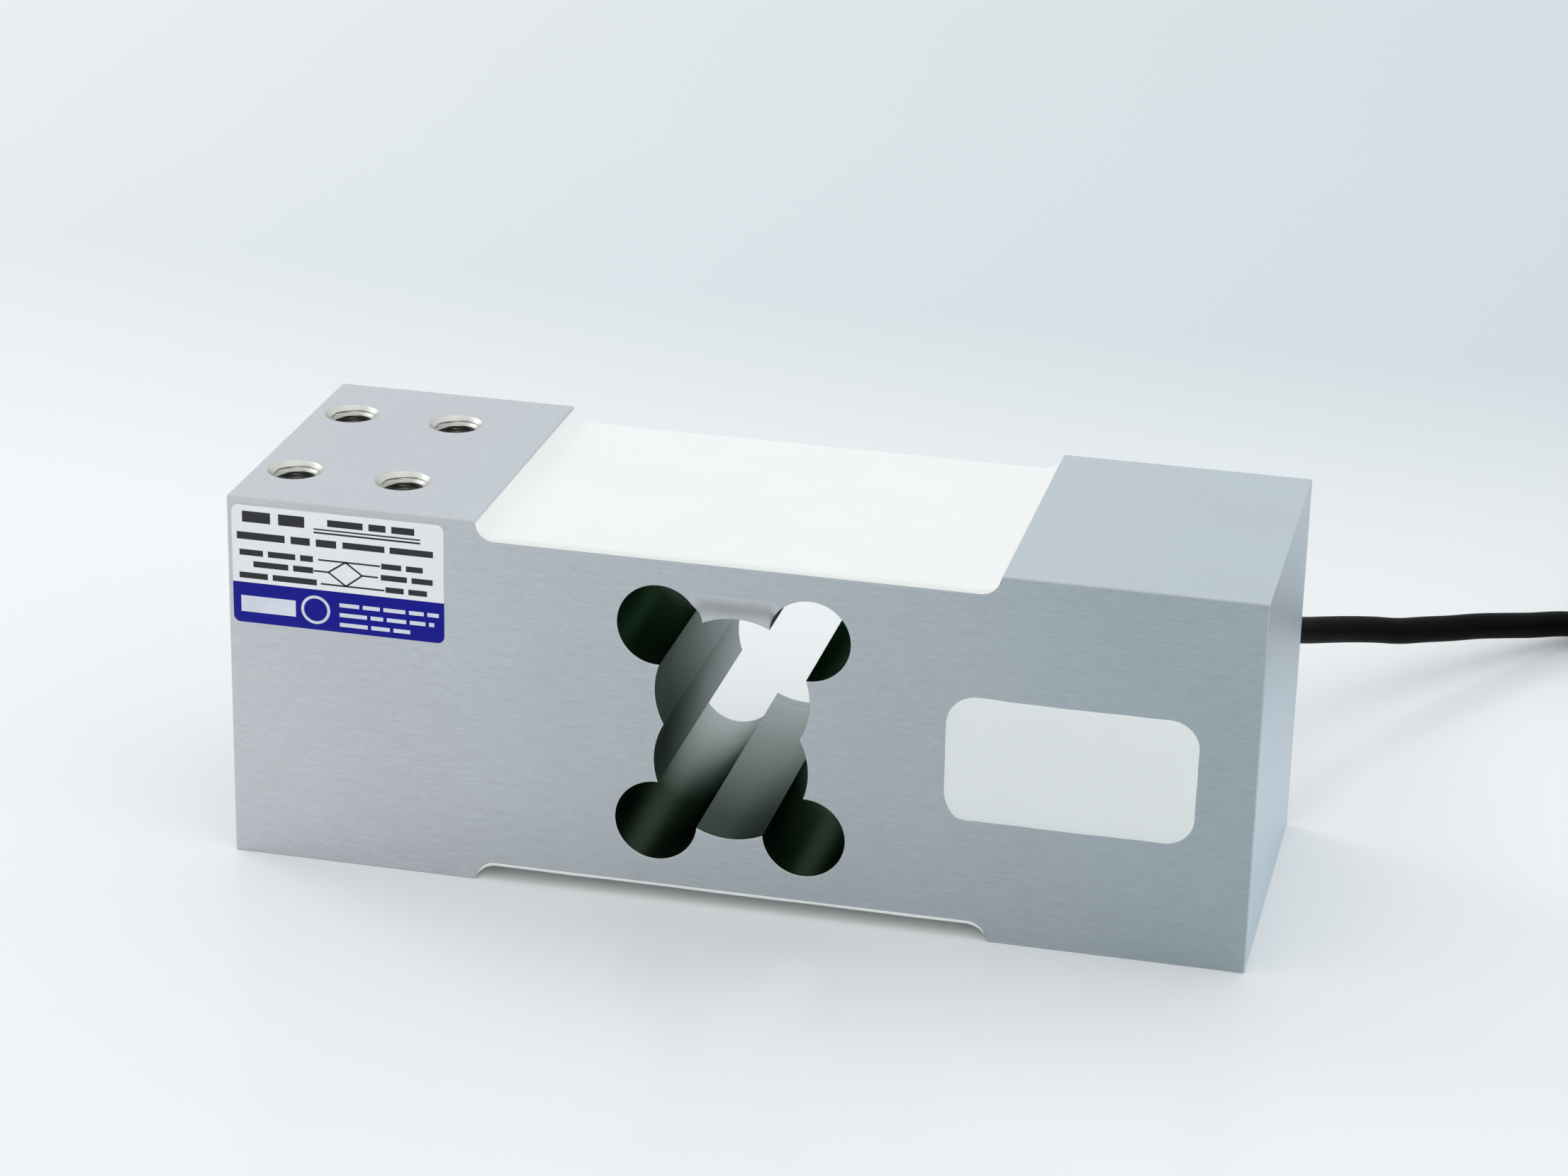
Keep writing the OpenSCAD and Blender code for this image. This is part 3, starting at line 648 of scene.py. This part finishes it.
block = dict(length=174, width=60, height=65, seat=43, recess=3.4, edge=0.2, corner=0.24, ductR=1.5,
             ductX=38, ductY=-21, ductLong=22, cableBoreR=2.7, bushR=4.5, bushDeep=6)
opening = dict(boreR=7, boreX=12.65, boreZ=17.6, middleR=13.1, middleZ=6.3, edge=0.13)
scallop = dict(depth=1.9, half=7.8, fade=2.4, high=56.6, low=46, fall=5.2, margin=0.4)
holes = dict(tapR=3.4, rimR=4.7, rootR=4.0, pitch=1.25, depth=15, offX=70.675, gapX=19.05, gapY=30,
             cols=48, tip=59)
pocket = dict(x=56.6, z=32.5, length=40.8, height=21.2, corner=4.5, depth=14)


def quarterOutline():
    # upper right quarter of the block's outline: end, rounded corner, seat, rounded corner,
    # run-out arc, gauged surface
    b = block
    half, top, seatX = b["length"] / 2, b["height"] / 2, b["length"] / 2 - b["seat"]
    c, r = b["corner"], b["recess"]
    low = math.degrees(math.asin(c / r))
    return np.vstack([
        [(half, 0)], arc(half - c, top - c, c, 0, 90, 5), arc(seatX + c, top - c, c, 90, 180, 5),
        arc(seatX - r, top, r, -low, -90, 14), [(0, top - r)]])


def blockOutline():
    # the quarter turned over both axes, about mid height
    q = quarterOutline()
    left = q[::-1] * (-1, 1)
    loop = np.vstack([q, left[1:], (q * (-1, -1))[1:], (q[::-1] * (1, -1))[1:-1]])
    return loop + (0, block["height"] / 2)


def openingLoop(grow):
    # arcs of the six bores from crossing to crossing, counterclockwise; grow widens every bore
    o = opening
    big, small = o["middleR"] + grow, o["boreR"] + grow
    dx, dz = o["boreX"], o["boreZ"] - o["middleZ"]
    far, lean = math.hypot(dx, dz), math.degrees(math.atan2(dz, dx))
    open1 = math.degrees(math.acos((far ** 2 + big ** 2 - small ** 2) / (2 * far * big)))
    open2 = math.degrees(math.acos((far ** 2 + small ** 2 - big ** 2) / (2 * far * small)))
    waist = math.degrees(math.asin(o["middleZ"] / big))
    up = [arc(0, o["middleZ"], big, -waist, lean - open1, 14)[:-1],
          arc(dx, o["boreZ"], small, lean - 180 + open2, lean + 180 - open2, 56)[:-1],
          arc(0, o["middleZ"], big, lean + open1, 180 - lean - open1, 14)[:-1],
          arc(-dx, o["boreZ"], small, -lean + open2, 360 - lean - open2, 56)[:-1],
          arc(0, o["middleZ"], big, 180 - lean + open1, 180 + waist, 14)[:-1]]
    top = np.vstack(up)
    return np.vstack([top, -top]) + (0, block["height"] / 2)


def edgeRings(loopAt, edge, front, back):
    # quarter-round breaks at both ends: the loop moves by the edge times one less a sine,
    # and the depth by the edge times one less a cosine
    t = np.radians(np.linspace(0, 90, 4))
    rings = [inPlane(loopAt(edge * (1 - math.sin(a))), front + edge * (1 - math.cos(a))) for a in t]
    rings += [inPlane(loopAt(edge * (1 - math.sin(a))), back - edge * (1 - math.cos(a))) for a in t[::-1]]
    return np.stack(rings)


def tappedHole(shell, cx, cy, faceZ, way):
    # wall radius is the larger of the countersink's cone and the thread's wave, at each angle and depth
    h = holes
    depth = np.r_[0, 0.06, np.arange(0.2, h["depth"] - 0.1, h["pitch"] / 8), h["depth"]][:, None]
    a = np.radians(np.arange(h["cols"]) * 360 / h["cols"])[None]
    wave = (depth / h["pitch"] - way * a / (2 * math.pi)) % 1.0
    crest = np.clip((1 - np.abs(2 * wave - 1)) * 1.4 - 0.2, 0, 1)
    fade = np.clip((h["depth"] - 1.5 - depth) / 1.5, 0, 1)
    thread = h["tapR"] - 0.06 + (h["rootR"] - h["tapR"] + 0.06) * crest * fade
    r = np.maximum(thread, h["rimR"] - depth)
    r[0] = h["rimR"] + 0.12
    r[1] = h["rimR"]
    z = np.broadcast_to(faceZ - way * depth, r.shape)
    wall = np.stack([cx + r * np.cos(a), cy + r * np.sin(a), z], -1)
    tip = np.array([[cx, cy, faceZ - way * (h["depth"] + h["tapR"] / math.tan(math.radians(h["tip"])))]])
    shell.grid(wall, 4)
    col = np.arange(h["cols"])
    fan = np.stack([col, (col + 1) % h["cols"], np.full(h["cols"], h["cols"])], 1)
    shell.add(np.vstack([wall[-1], tip]), fan, 4)
    return wall[0]


def buildBlock():
    # outline and cut-out carried from front to back, flat faces filled between them, then the cutters
    # taken off; materials by number: 0 flank, 1 seat, 2 end, 3 bore, 4 thread, 5 edge, 6 filed,
    # 7 clearance bore
    b, w = block, block["width"] / 2
    outline = blockOutline()
    normal = outward(outline)
    shell = Shell()
    rings = edgeRings(lambda d: outline - normal * d, b["edge"], -w, w)
    n = len(outline)
    x, z = outline[:, 0], outline[:, 1]
    nextX, nextZ = np.roll(x, -1), np.roll(z, -1)
    near = 0.01  # within this a point lies on a face
    isEnd = (np.abs(x) > b["length"] / 2 - near) & (np.abs(nextX) > b["length"] / 2 - near)
    level = np.abs(z - nextZ) < 1e-6
    seatTop = level & (z > b["height"] - near)
    seatLow = level & (z < near)
    slotOf = np.where(isEnd, 2, 1)
    drilled = (seatTop & (x < 0)) | (seatLow & (x > 0))
    quads = gridQuads(len(rings), n)
    row, col = np.arange(len(quads)) // n, np.arange(len(quads)) % n
    middle = len(rings) // 2 - 1
    keep = ~((row == middle) & drilled[col])
    for slot in (1, 2):
        chosen = keep & (row == middle) & (slotOf[col] == slot)
        shell.add(rings.reshape(-1, 3), quads[chosen], slot)
    shell.add(rings.reshape(-1, 3), quads[keep & (row != middle)], 5)
    # drilled seats: the strip's own rectangle with four hole rims in it
    gapX, gapY = holes["gapX"] / 2, holes["gapY"] / 2
    for sign, faceZ in ((1, b["height"]), (-1, 0)):
        rims = [tappedHole(shell, sign * -holes["offX"] + sx * gapX, sy * gapY, faceZ, sign)
                for sx in (-1, 1) for sy in (-1, 1)]
        spots = np.flatnonzero(drilled & (seatTop if sign > 0 else seatLow))
        i, j = spots[0], (spots[0] + 1) % n
        rim = np.stack([rings[middle][i], rings[middle][j], rings[middle + 1][j], rings[middle + 1][i]])
        shell.face([rim] + rims, 1)
    # flexure opening, pocket and the two flanks
    cut = edgeRings(openingLoop, opening["edge"], -w, w)
    m = len(cut[0])
    cutQuads = gridQuads(len(cut), m)
    cutRow = np.arange(len(cutQuads)) // m
    # walls of the flexure bores lie one small radius from their own axis, and the rest belongs to the
    # clearance bores
    ring, o = openingLoop(0) - (0, b["height"] / 2), opening
    away = np.hypot(np.abs(ring[:, 0]) - o["boreX"], np.abs(ring[:, 1]) - o["boreZ"])
    small = np.abs(away - o["boreR"]) < near
    small = (small & np.roll(small, -1))[np.arange(len(cutQuads)) % m]
    for slot, chosen in ((3, small), (7, ~small)):
        shell.add(cut.reshape(-1, 3), cutQuads[(cutRow == middle) & chosen], slot)
    shell.add(cut.reshape(-1, 3), cutQuads[cutRow != middle], 5)
    p = pocket

    def pocketLoop(grow, y):
        return inPlane(roundedLoop(p["x"], p["z"], p["length"], p["height"], p["corner"], 12, grow), y)

    t = np.radians(np.linspace(0, 90, 4))
    pocketRings = [pocketLoop(b["edge"] * (1 - math.sin(a)), -w + b["edge"] * (1 - math.cos(a))) for a in t]
    pocketRings.append(pocketLoop(0, -w + p["depth"]))
    shell.grid(pocketRings, 3)
    shell.face([pocketRings[-1]], 3)
    shell.face([rings[0], cut[0], pocketRings[0]], 0)
    shell.face([rings[-1], cut[-1]], 0)
    look = [metals[k] for k in ("flank", "seat", "end", "bore", "thread", "edge", "filed", "clear")]
    piece = shell.piece("springBlock", look, 28)

    # cutters: filed scallop, two wire ducts, cable bore with its counterbore
    cutter = Shell()

    def lathe(profile, place):
        # outline of radius and run turned about an axis; place takes the run and two offsets to x, y and z
        spots = np.array(profile, float)
        sides = 48
        a = np.radians(np.arange(sides) * 360 / sides)
        run = np.broadcast_to(spots[:, 1:], (len(spots), sides))
        cutter.grid(np.stack(place(run, spots[:, :1] * np.cos(a), spots[:, :1] * np.sin(a)), -1), 3)

    # the filed scallop: its greatest depth times an eased rise from both ends and from its upper edge
    s = scallop
    reachX, reachZ = s["half"] + s["margin"], s["high"] + s["margin"]
    gx, gz = np.meshgrid(np.linspace(-reachX, reachX, 49), np.linspace(s["low"], reachZ, 41), indexing="ij")
    dip = s["depth"] * ease((s["half"] - np.abs(gx)) / s["fade"]) * ease((s["high"] - gz) / s["fall"]) - 0.015
    back = np.stack([gx, dip - w, gz], -1)
    front = np.stack([gx, np.full(gx.shape, -w - 1.0), gz], -1)
    cutter.grid(back, 6, closed=False)
    cutter.grid(front, 6, closed=False)
    rim = [np.concatenate([v[:, 0], v[-1, 1:], v[-2::-1, -1], v[0, -2:0:-1]]) for v in (back, front)]
    cutter.grid(rim, 6)
    for sign, start in ((1, b["height"] - b["recess"] + 0.5), (-1, b["recess"] - 0.5)):
        lathe([(0, 0), (b["ductR"], 0), (b["ductR"], b["ductLong"]), (0, b["ductLong"])],
              lambda run, u, v: (b["ductX"] + u, b["ductY"] + v, start - sign * run))
    ex, ey, ez = cable["exit"]
    floor = p["depth"] - b["width"] - 0.5
    step = -b["bushDeep"]
    lathe([(0, floor), (b["cableBoreR"], floor), (b["cableBoreR"], step), (b["bushR"], step),
           (b["bushR"], 0.5), (0, 0.5)], lambda run, u, v: (ex + u, ey + run, ez + v))
    tool = cutter.piece("cutter", look, 28)
    carve = piece.modifiers.new("carve", "BOOLEAN")
    carve.operation, carve.solver, carve.object = "DIFFERENCE", "EXACT", tool
    graph = bpy.context.evaluated_depsgraph_get()
    carved = bpy.data.meshes.new_from_object(piece.evaluated_get(graph))
    piece.modifiers.clear()
    old = piece.data
    piece.data = carved
    bpy.data.meshes.remove(old)
    bpy.data.objects.remove(tool)
    carved.set_sharp_from_angle(angle=math.radians(28))
    evenNormals(piece)
    print("block faces", len(carved.polygons))
    return piece


body = buildBlock()
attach(body, "root")
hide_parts("load_cell_body")
print("block built")


# Silicone

silicone = dict(thick=0.8, climb=2.1, airR=4.2, round=1.1)


def buildSpanSilicone(name, flip):
    # upper skin: flat, climbing on an arc to the run-outs, rounded off at the flanks, with slow sine ripples;
    # lower skin: the span itself
    b, s = block, silicone
    floorZ, seatX, r = b["height"] - b["recess"], b["length"] / 2 - b["seat"], b["recess"]
    endX = seatX - r + math.sqrt(r ** 2 - (r - s["thick"] - s["climb"]) ** 2)
    flatX = endX - math.sqrt(s["airR"] ** 2 - (s["airR"] - s["climb"]) ** 2)
    slope = flatX + (endX - flatX) * np.linspace(0, 1, 12)[1:]
    side = np.concatenate([-slope[::-1], np.linspace(-flatX, flatX, 61), slope])
    past = np.clip(np.abs(side) - flatX, 0, None)
    top = floorZ + s["thick"] + s["airR"] - np.sqrt(s["airR"] ** 2 - past ** 2)
    low = floorZ + r - np.sqrt(np.clip(r ** 2 - np.clip(np.abs(side) - (seatX - r), 0, None) ** 2, 0, None))
    half, ro = b["width"] / 2, s["round"]
    edge = half - ro + ro * np.sin(np.radians(np.linspace(0, 90, 9)))
    y = np.concatenate([-edge[::-1], np.linspace(-half + ro, half - ro, 41)[1:-1], edge])
    drop = np.sqrt(np.clip(1 - (np.clip(np.abs(y) - (half - ro), 0, None) / ro) ** 2, 0, 1))
    gx, gy = np.meshgrid(side, y, indexing="ij")
    slow = 0.04 * np.sin(gx * 0.21 + 1.3) * np.sin(gy * 0.17 + 0.4)
    ripple = 0.1 + slow + 0.02 * np.sin(gx * 0.53 + gy * 0.31)
    rise = ((top - low)[:, None] + ripple * np.clip((endX - np.abs(side)) / 3, 0, 1)[:, None]) * drop[None]
    upper = np.stack([gx, gy, low[:, None] + rise], -1)
    lower = np.stack([gx, gy, np.broadcast_to(low[:, None], gx.shape)], -1)
    if flip:
        upper, lower = [np.stack([v[..., 0], v[..., 1], b["height"] - v[..., 2]], -1) for v in (upper, lower)]
    shell = Shell()
    shell.grid(upper, closed=False)
    shell.grid(lower, closed=False)
    return shell.piece(name, [finishes["white"]], 60)


def buildPocketSilicone():
    # loops step in from a thin uneven overflow on the face, each standing out a little more, to a flat middle
    p, front = pocket, -block["width"] / 2
    inset = np.array([0.04, 0.04, -0.16, -0.02, 0.35, 0.8, 1.4, 2.2, 3.2])
    swell = np.array([-12, -0.1, 0.012, 0.09, 0.17, 0.23, 0.27, 0.295, 0.3])
    shell = Shell()
    rings = []
    for d, h in zip(inset, swell):
        loop = evenLoop(roundedLoop(p["x"], p["z"], p["length"], p["height"], p["corner"], 14, -d), 220)
        turn = np.linspace(0, 2 * math.pi, len(loop), endpoint=False)
        spill = 0.03 * np.sin(3 * turn + 1.1) + 0.025 * np.sin(7 * turn + 2.0)
        spill = spill + 0.02 * np.sin(17 * turn + 0.6)
        bulge = 0.35 * np.exp(-((turn - 3.4) / 0.09) ** 2) + 0.22 * np.exp(-((turn - 2.05) / 0.16) ** 2)
        if 0 < h < 0.1:
            loop = loop + outward(loop) * (0.13 + spill + bulge)[:, None]
        ring = inPlane(loop, front)
        ring[:, 1] -= h
        rings.append(ring)
    shell.grid(rings)
    shell.face([rings[-1]])
    shell.face([rings[0]])
    return shell.piece("pocketSilicone", [finishes["fill"]], 60)


topSilicone = buildSpanSilicone("topSilicone", False)
lowSilicone = buildSpanSilicone("bottomSilicone", True)
pocketSilicone = buildPocketSilicone()
for piece, node in ((topSilicone, "top_potting"), (lowSilicone, "bottom_potting"),
                    (pocketSilicone, "window_potting")):
    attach(piece, "root")
    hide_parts(node)
print("silicone poured")


# Label

label = dict(x=-86.2, top=63.6, length=36.9, height=21, corner=1.2, thick=0.12, band=13.75, ink=0.012,
             paper=(0.88, 0.90, 0.92), blue=(0.001, 0.002, 0.27), black=(0.008, 0.008, 0.012),
             white=(0.72, 0.75, 0.84))


def inkStroke(x0, t0, x1, t1, thick):
    # a bar between two points of the label, measured from its left edge and its top, as one quad
    a, b = np.array([x0, t0], float), np.array([x1, t1], float)
    way = (b - a) / np.linalg.norm(b - a)
    side = np.array([-way[1], way[0]]) * thick / 2
    return np.stack([a - side, b - side, b + side, a + side])


def wordBars(x0, x1, top, height, part=0.62):
    # one row of print as plain bars of uneven length, each as high as part of the row;
    # the last one ends the row
    bars, x = [], x0
    while x < x1 - height * 0.6:
        end = min(x + height * chance.uniform(1.4, 4.2), x1)
        if x1 - end < height * 1.2:
            end = x1
        bars.append(inkStroke(x, top + height * 0.55, end, top + height * 0.55, height * part))
        x = end + height * 0.5
    return bars


def printShell(strokes, name, finish):
    # each quad of ink becomes a thin block that stands a hair proud of the label
    quads = np.stack(strokes)
    xs, zs = label["x"] + quads[..., 0], label["top"] - quads[..., 1]
    front = -block["width"] / 2 - label["thick"] - label["ink"]
    outer = np.stack([xs, np.full(xs.shape, front), zs], -1)
    inner = outer + (0, label["ink"] * 2, 0)
    points = np.concatenate([outer, inner], 1).reshape(-1, 3)
    base = (np.arange(len(quads)) * 8)[:, None, None]
    box = np.array([[0, 1, 2, 3], [7, 6, 5, 4], [0, 4, 5, 1], [1, 5, 6, 2], [2, 6, 7, 3], [3, 7, 4, 0]])
    mesh = bpy.data.meshes.new(name)
    mesh.from_pydata((points * mm).tolist(), [], (base + box[None]).reshape(-1, 4).tolist())
    work = bmesh.new()
    work.from_mesh(mesh)
    bmesh.ops.recalc_face_normals(work, faces=work.faces)
    work.to_mesh(mesh)
    work.free()
    mesh.materials.append(finish)
    return linked(name, mesh)


def buildLabel():
    # a film with eased edges whose colour changes at the band's line, and its print;
    # rows give their top and ends
    p, front = label, -block["width"] / 2
    finish = Finish("labelFilm", color=p["paper"], rough=0.38, spec=0.2)
    fine = finish.noise((1800,) * 3, 2.0)
    fields = []
    for tone, vary in (("paper", 0.02), ("blue", 0.07)):
        ends = [tuple(c * k for c in p[tone]) for k in (1 - vary, 1 + vary)]
        fields.append(finish.blend(fine.ramp(0.3, 0.7), *ends))
    band = finish.axes()[2].under((p["top"] - p["band"]) * mm)
    finish.feed(color=finish.blend(band, *fields), rough=fine.ramp(0.3, 0.7, 0.34, 0.42))
    finish.bump(fine, 0.000002)
    cx, cz = p["x"] + p["length"] / 2, p["top"] - p["height"] / 2
    loops = [inPlane(roundedLoop(cx, cz, p["length"], p["height"], p["corner"], 10, -grow), front - depth)
             for grow, depth in ((0, -0.01), (0, 0.07), (0.02, 0.1), (0.06, p["thick"]))]
    shell = Shell()
    shell.grid(loops)
    shell.face([loops[-1]])
    shell.face([loops[0]])
    film = shell.piece("typeLabel", [finish.material], 40)
    dark = plainFinish("labelInk", p["black"], 0.45, 1500, 0.000001)
    pale = plainFinish("labelPale", p["white"], 0.4, 1500, 0.000001)
    ink = wordBars(1.9, 12.8, 0.45, 2.8, 0.7) + wordBars(16.8, 31.9, 0.6, 2.0, 0.6)
    ink += [inkStroke(14.4, 2.95, 32.9, 2.95, 0.26), inkStroke(14.4, 3.55, 32.9, 3.55, 0.32)]
    ink += wordBars(0.9, 18.3, 4.25, 2.1) + wordBars(19.4, 35.1, 4.35, 1.8)
    for top, x0, x1, u0, u1 in ((7.45, 1.3, 14.2, 26.1, 33.3), (9.45, 3.7, 14.2, 26.0, 35.0),
                                (11.55, 1.2, 14.8, 26.8, 34.0)):
        ink += wordBars(x0, x1, top, 1.7) + wordBars(u0, u1, top, 1.6)
    ink += [inkStroke(a, b, c, d, 0.3) for a, b, c, d in (
        (15.1, 8.35, 25.9, 8.35), (15.5, 12.6, 26.6, 12.6), (14.3, 10.4, 16.85, 10.4),
        (22.75, 10.4, 25.5, 10.4), (19.85, 8.35, 16.85, 10.4), (16.85, 10.4, 19.9, 12.6),
        (19.9, 12.6, 22.75, 10.4), (22.75, 10.4, 19.85, 8.35))]
    plain = [inkStroke(1.4, 17.6, 11.0, 17.6, 2.9)]
    for top, x1 in ((15.4, 36.0), (17.15, 35.2), (18.9, 31.0)):
        plain += wordBars(18.7, x1, top, 1.25, 0.56)
    ring = arc(14.5, 17.4, 2.3, 0, 360, 37)
    plain += [inkStroke(*a, *b, 0.5) for a, b in zip(ring[:-1], ring[1:])]
    return film, printShell(ink, "labelPrint", dark), printShell(plain, "labelPalePrint", pale)


labelPieces = buildLabel()
for piece in labelPieces:
    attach(piece, "root")
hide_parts("type_label")
print("label applied")


# Finishes for the solids that stay

kept = dict(
    foil=("gauge_top_load", "gauge_top_fixed", "gauge_bottom_load", "gauge_bottom_fixed"),
    terminal=("solder_terminals_top", "solder_terminals_bottom"),
    enamel=("gauge_leads_top", "gauge_leads_bottom"),
    jumper=("bridge_wires_top", "bridge_wires_bottom"), nickel=("span_resistor_foil",), pad=("board_pad",),
    board=("compensation_board",), resistor=("trimming_resistors",), solder=("board_solder_joints",),
    cores=("pocket_cores",),
)
for finishName, nodes in kept.items():
    for node in nodes:
        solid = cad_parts[node]
        if not solid.material_slots:
            solid.data.materials.append(finishes[finishName])
        for place in solid.material_slots:
            place.material = finishes[finishName]
print("inner pieces finished")


# Floor, background and light

# near is the floor's own tone; the two far tones are painted shade of the backdrop, darker to the right
# lamps give their place and aim in metres, their width in metres and their power in watts
stage = dict(size=3.0, near=(0.93, 0.945, 0.95), shadedFarLeft=(0.835, 0.86, 0.89), shadedFarRight=(0.56, 0.63, 0.675),
             back=(0.86, 0.885, 0.895), world=1.0, aim=(0, 0, 0.03),
             lamps=(("keyLight", (-1.17, 0.54, 0.93), 0.6, 2.6), ("topLight", (0.0, -0.1, 1.6), 1.2, 0.9),
                    ("fillLight", (0.9, -0.5, 0.7), 0.8, 0.5)))


def buildStage():
    # one sheet; beyond the part its tone falls off to the right, as the backdrop of the photograph does; this
    # fall-off is painted shade
    size = stage["size"]
    mesh = bpy.data.meshes.new("floor")
    corners = [(-size, -size, 0), (size, -size, 0), (size, size, 0), (-size, size, 0)]
    mesh.from_pydata(corners, [], [(0, 1, 2, 3)])
    floor = linked("floor", mesh)
    finish = Finish("floorWhitePaintedShade", color=stage["near"], rough=0.14, spec=0.09)
    x, y, _ = finish.axes()
    # painted shade: darker beyond the part, and darker still to the right
    far = finish.blend(x.ramp(-0.45, 0.45), stage["shadedFarLeft"], stage["shadedFarRight"])
    finish.feed(color=finish.blend(y.ramp(0.12, 0.30), stage["near"], far))
    fine = finish.noise((60,) * 3, 2.0)
    finish.feed(rough=fine.ramp(0.3, 0.7, 0.14, 0.155))
    mesh.materials.append(finish.material)
    world = bpy.data.worlds.new("studio")
    world.use_nodes = True
    back = world.node_tree.nodes["Background"]
    back.inputs["Strength"].default_value = stage["world"]
    back.inputs["Color"].default_value = (*stage["back"], 1)
    bpy.context.scene.world = world
    for name, place, width, power in stage["lamps"]:
        lamp = bpy.data.lights.new(name, "AREA")
        lamp.shape, lamp.size, lamp.energy = "DISK", width, power
        light = linked(name, lamp)
        light.location = place
        light.rotation_euler = (Vector(stage["aim"]) - Vector(place)).to_track_quat("-Z", "Y").to_euler()


buildStage()
bpy.context.scene.view_settings.view_transform = "Standard"
print("stage set")
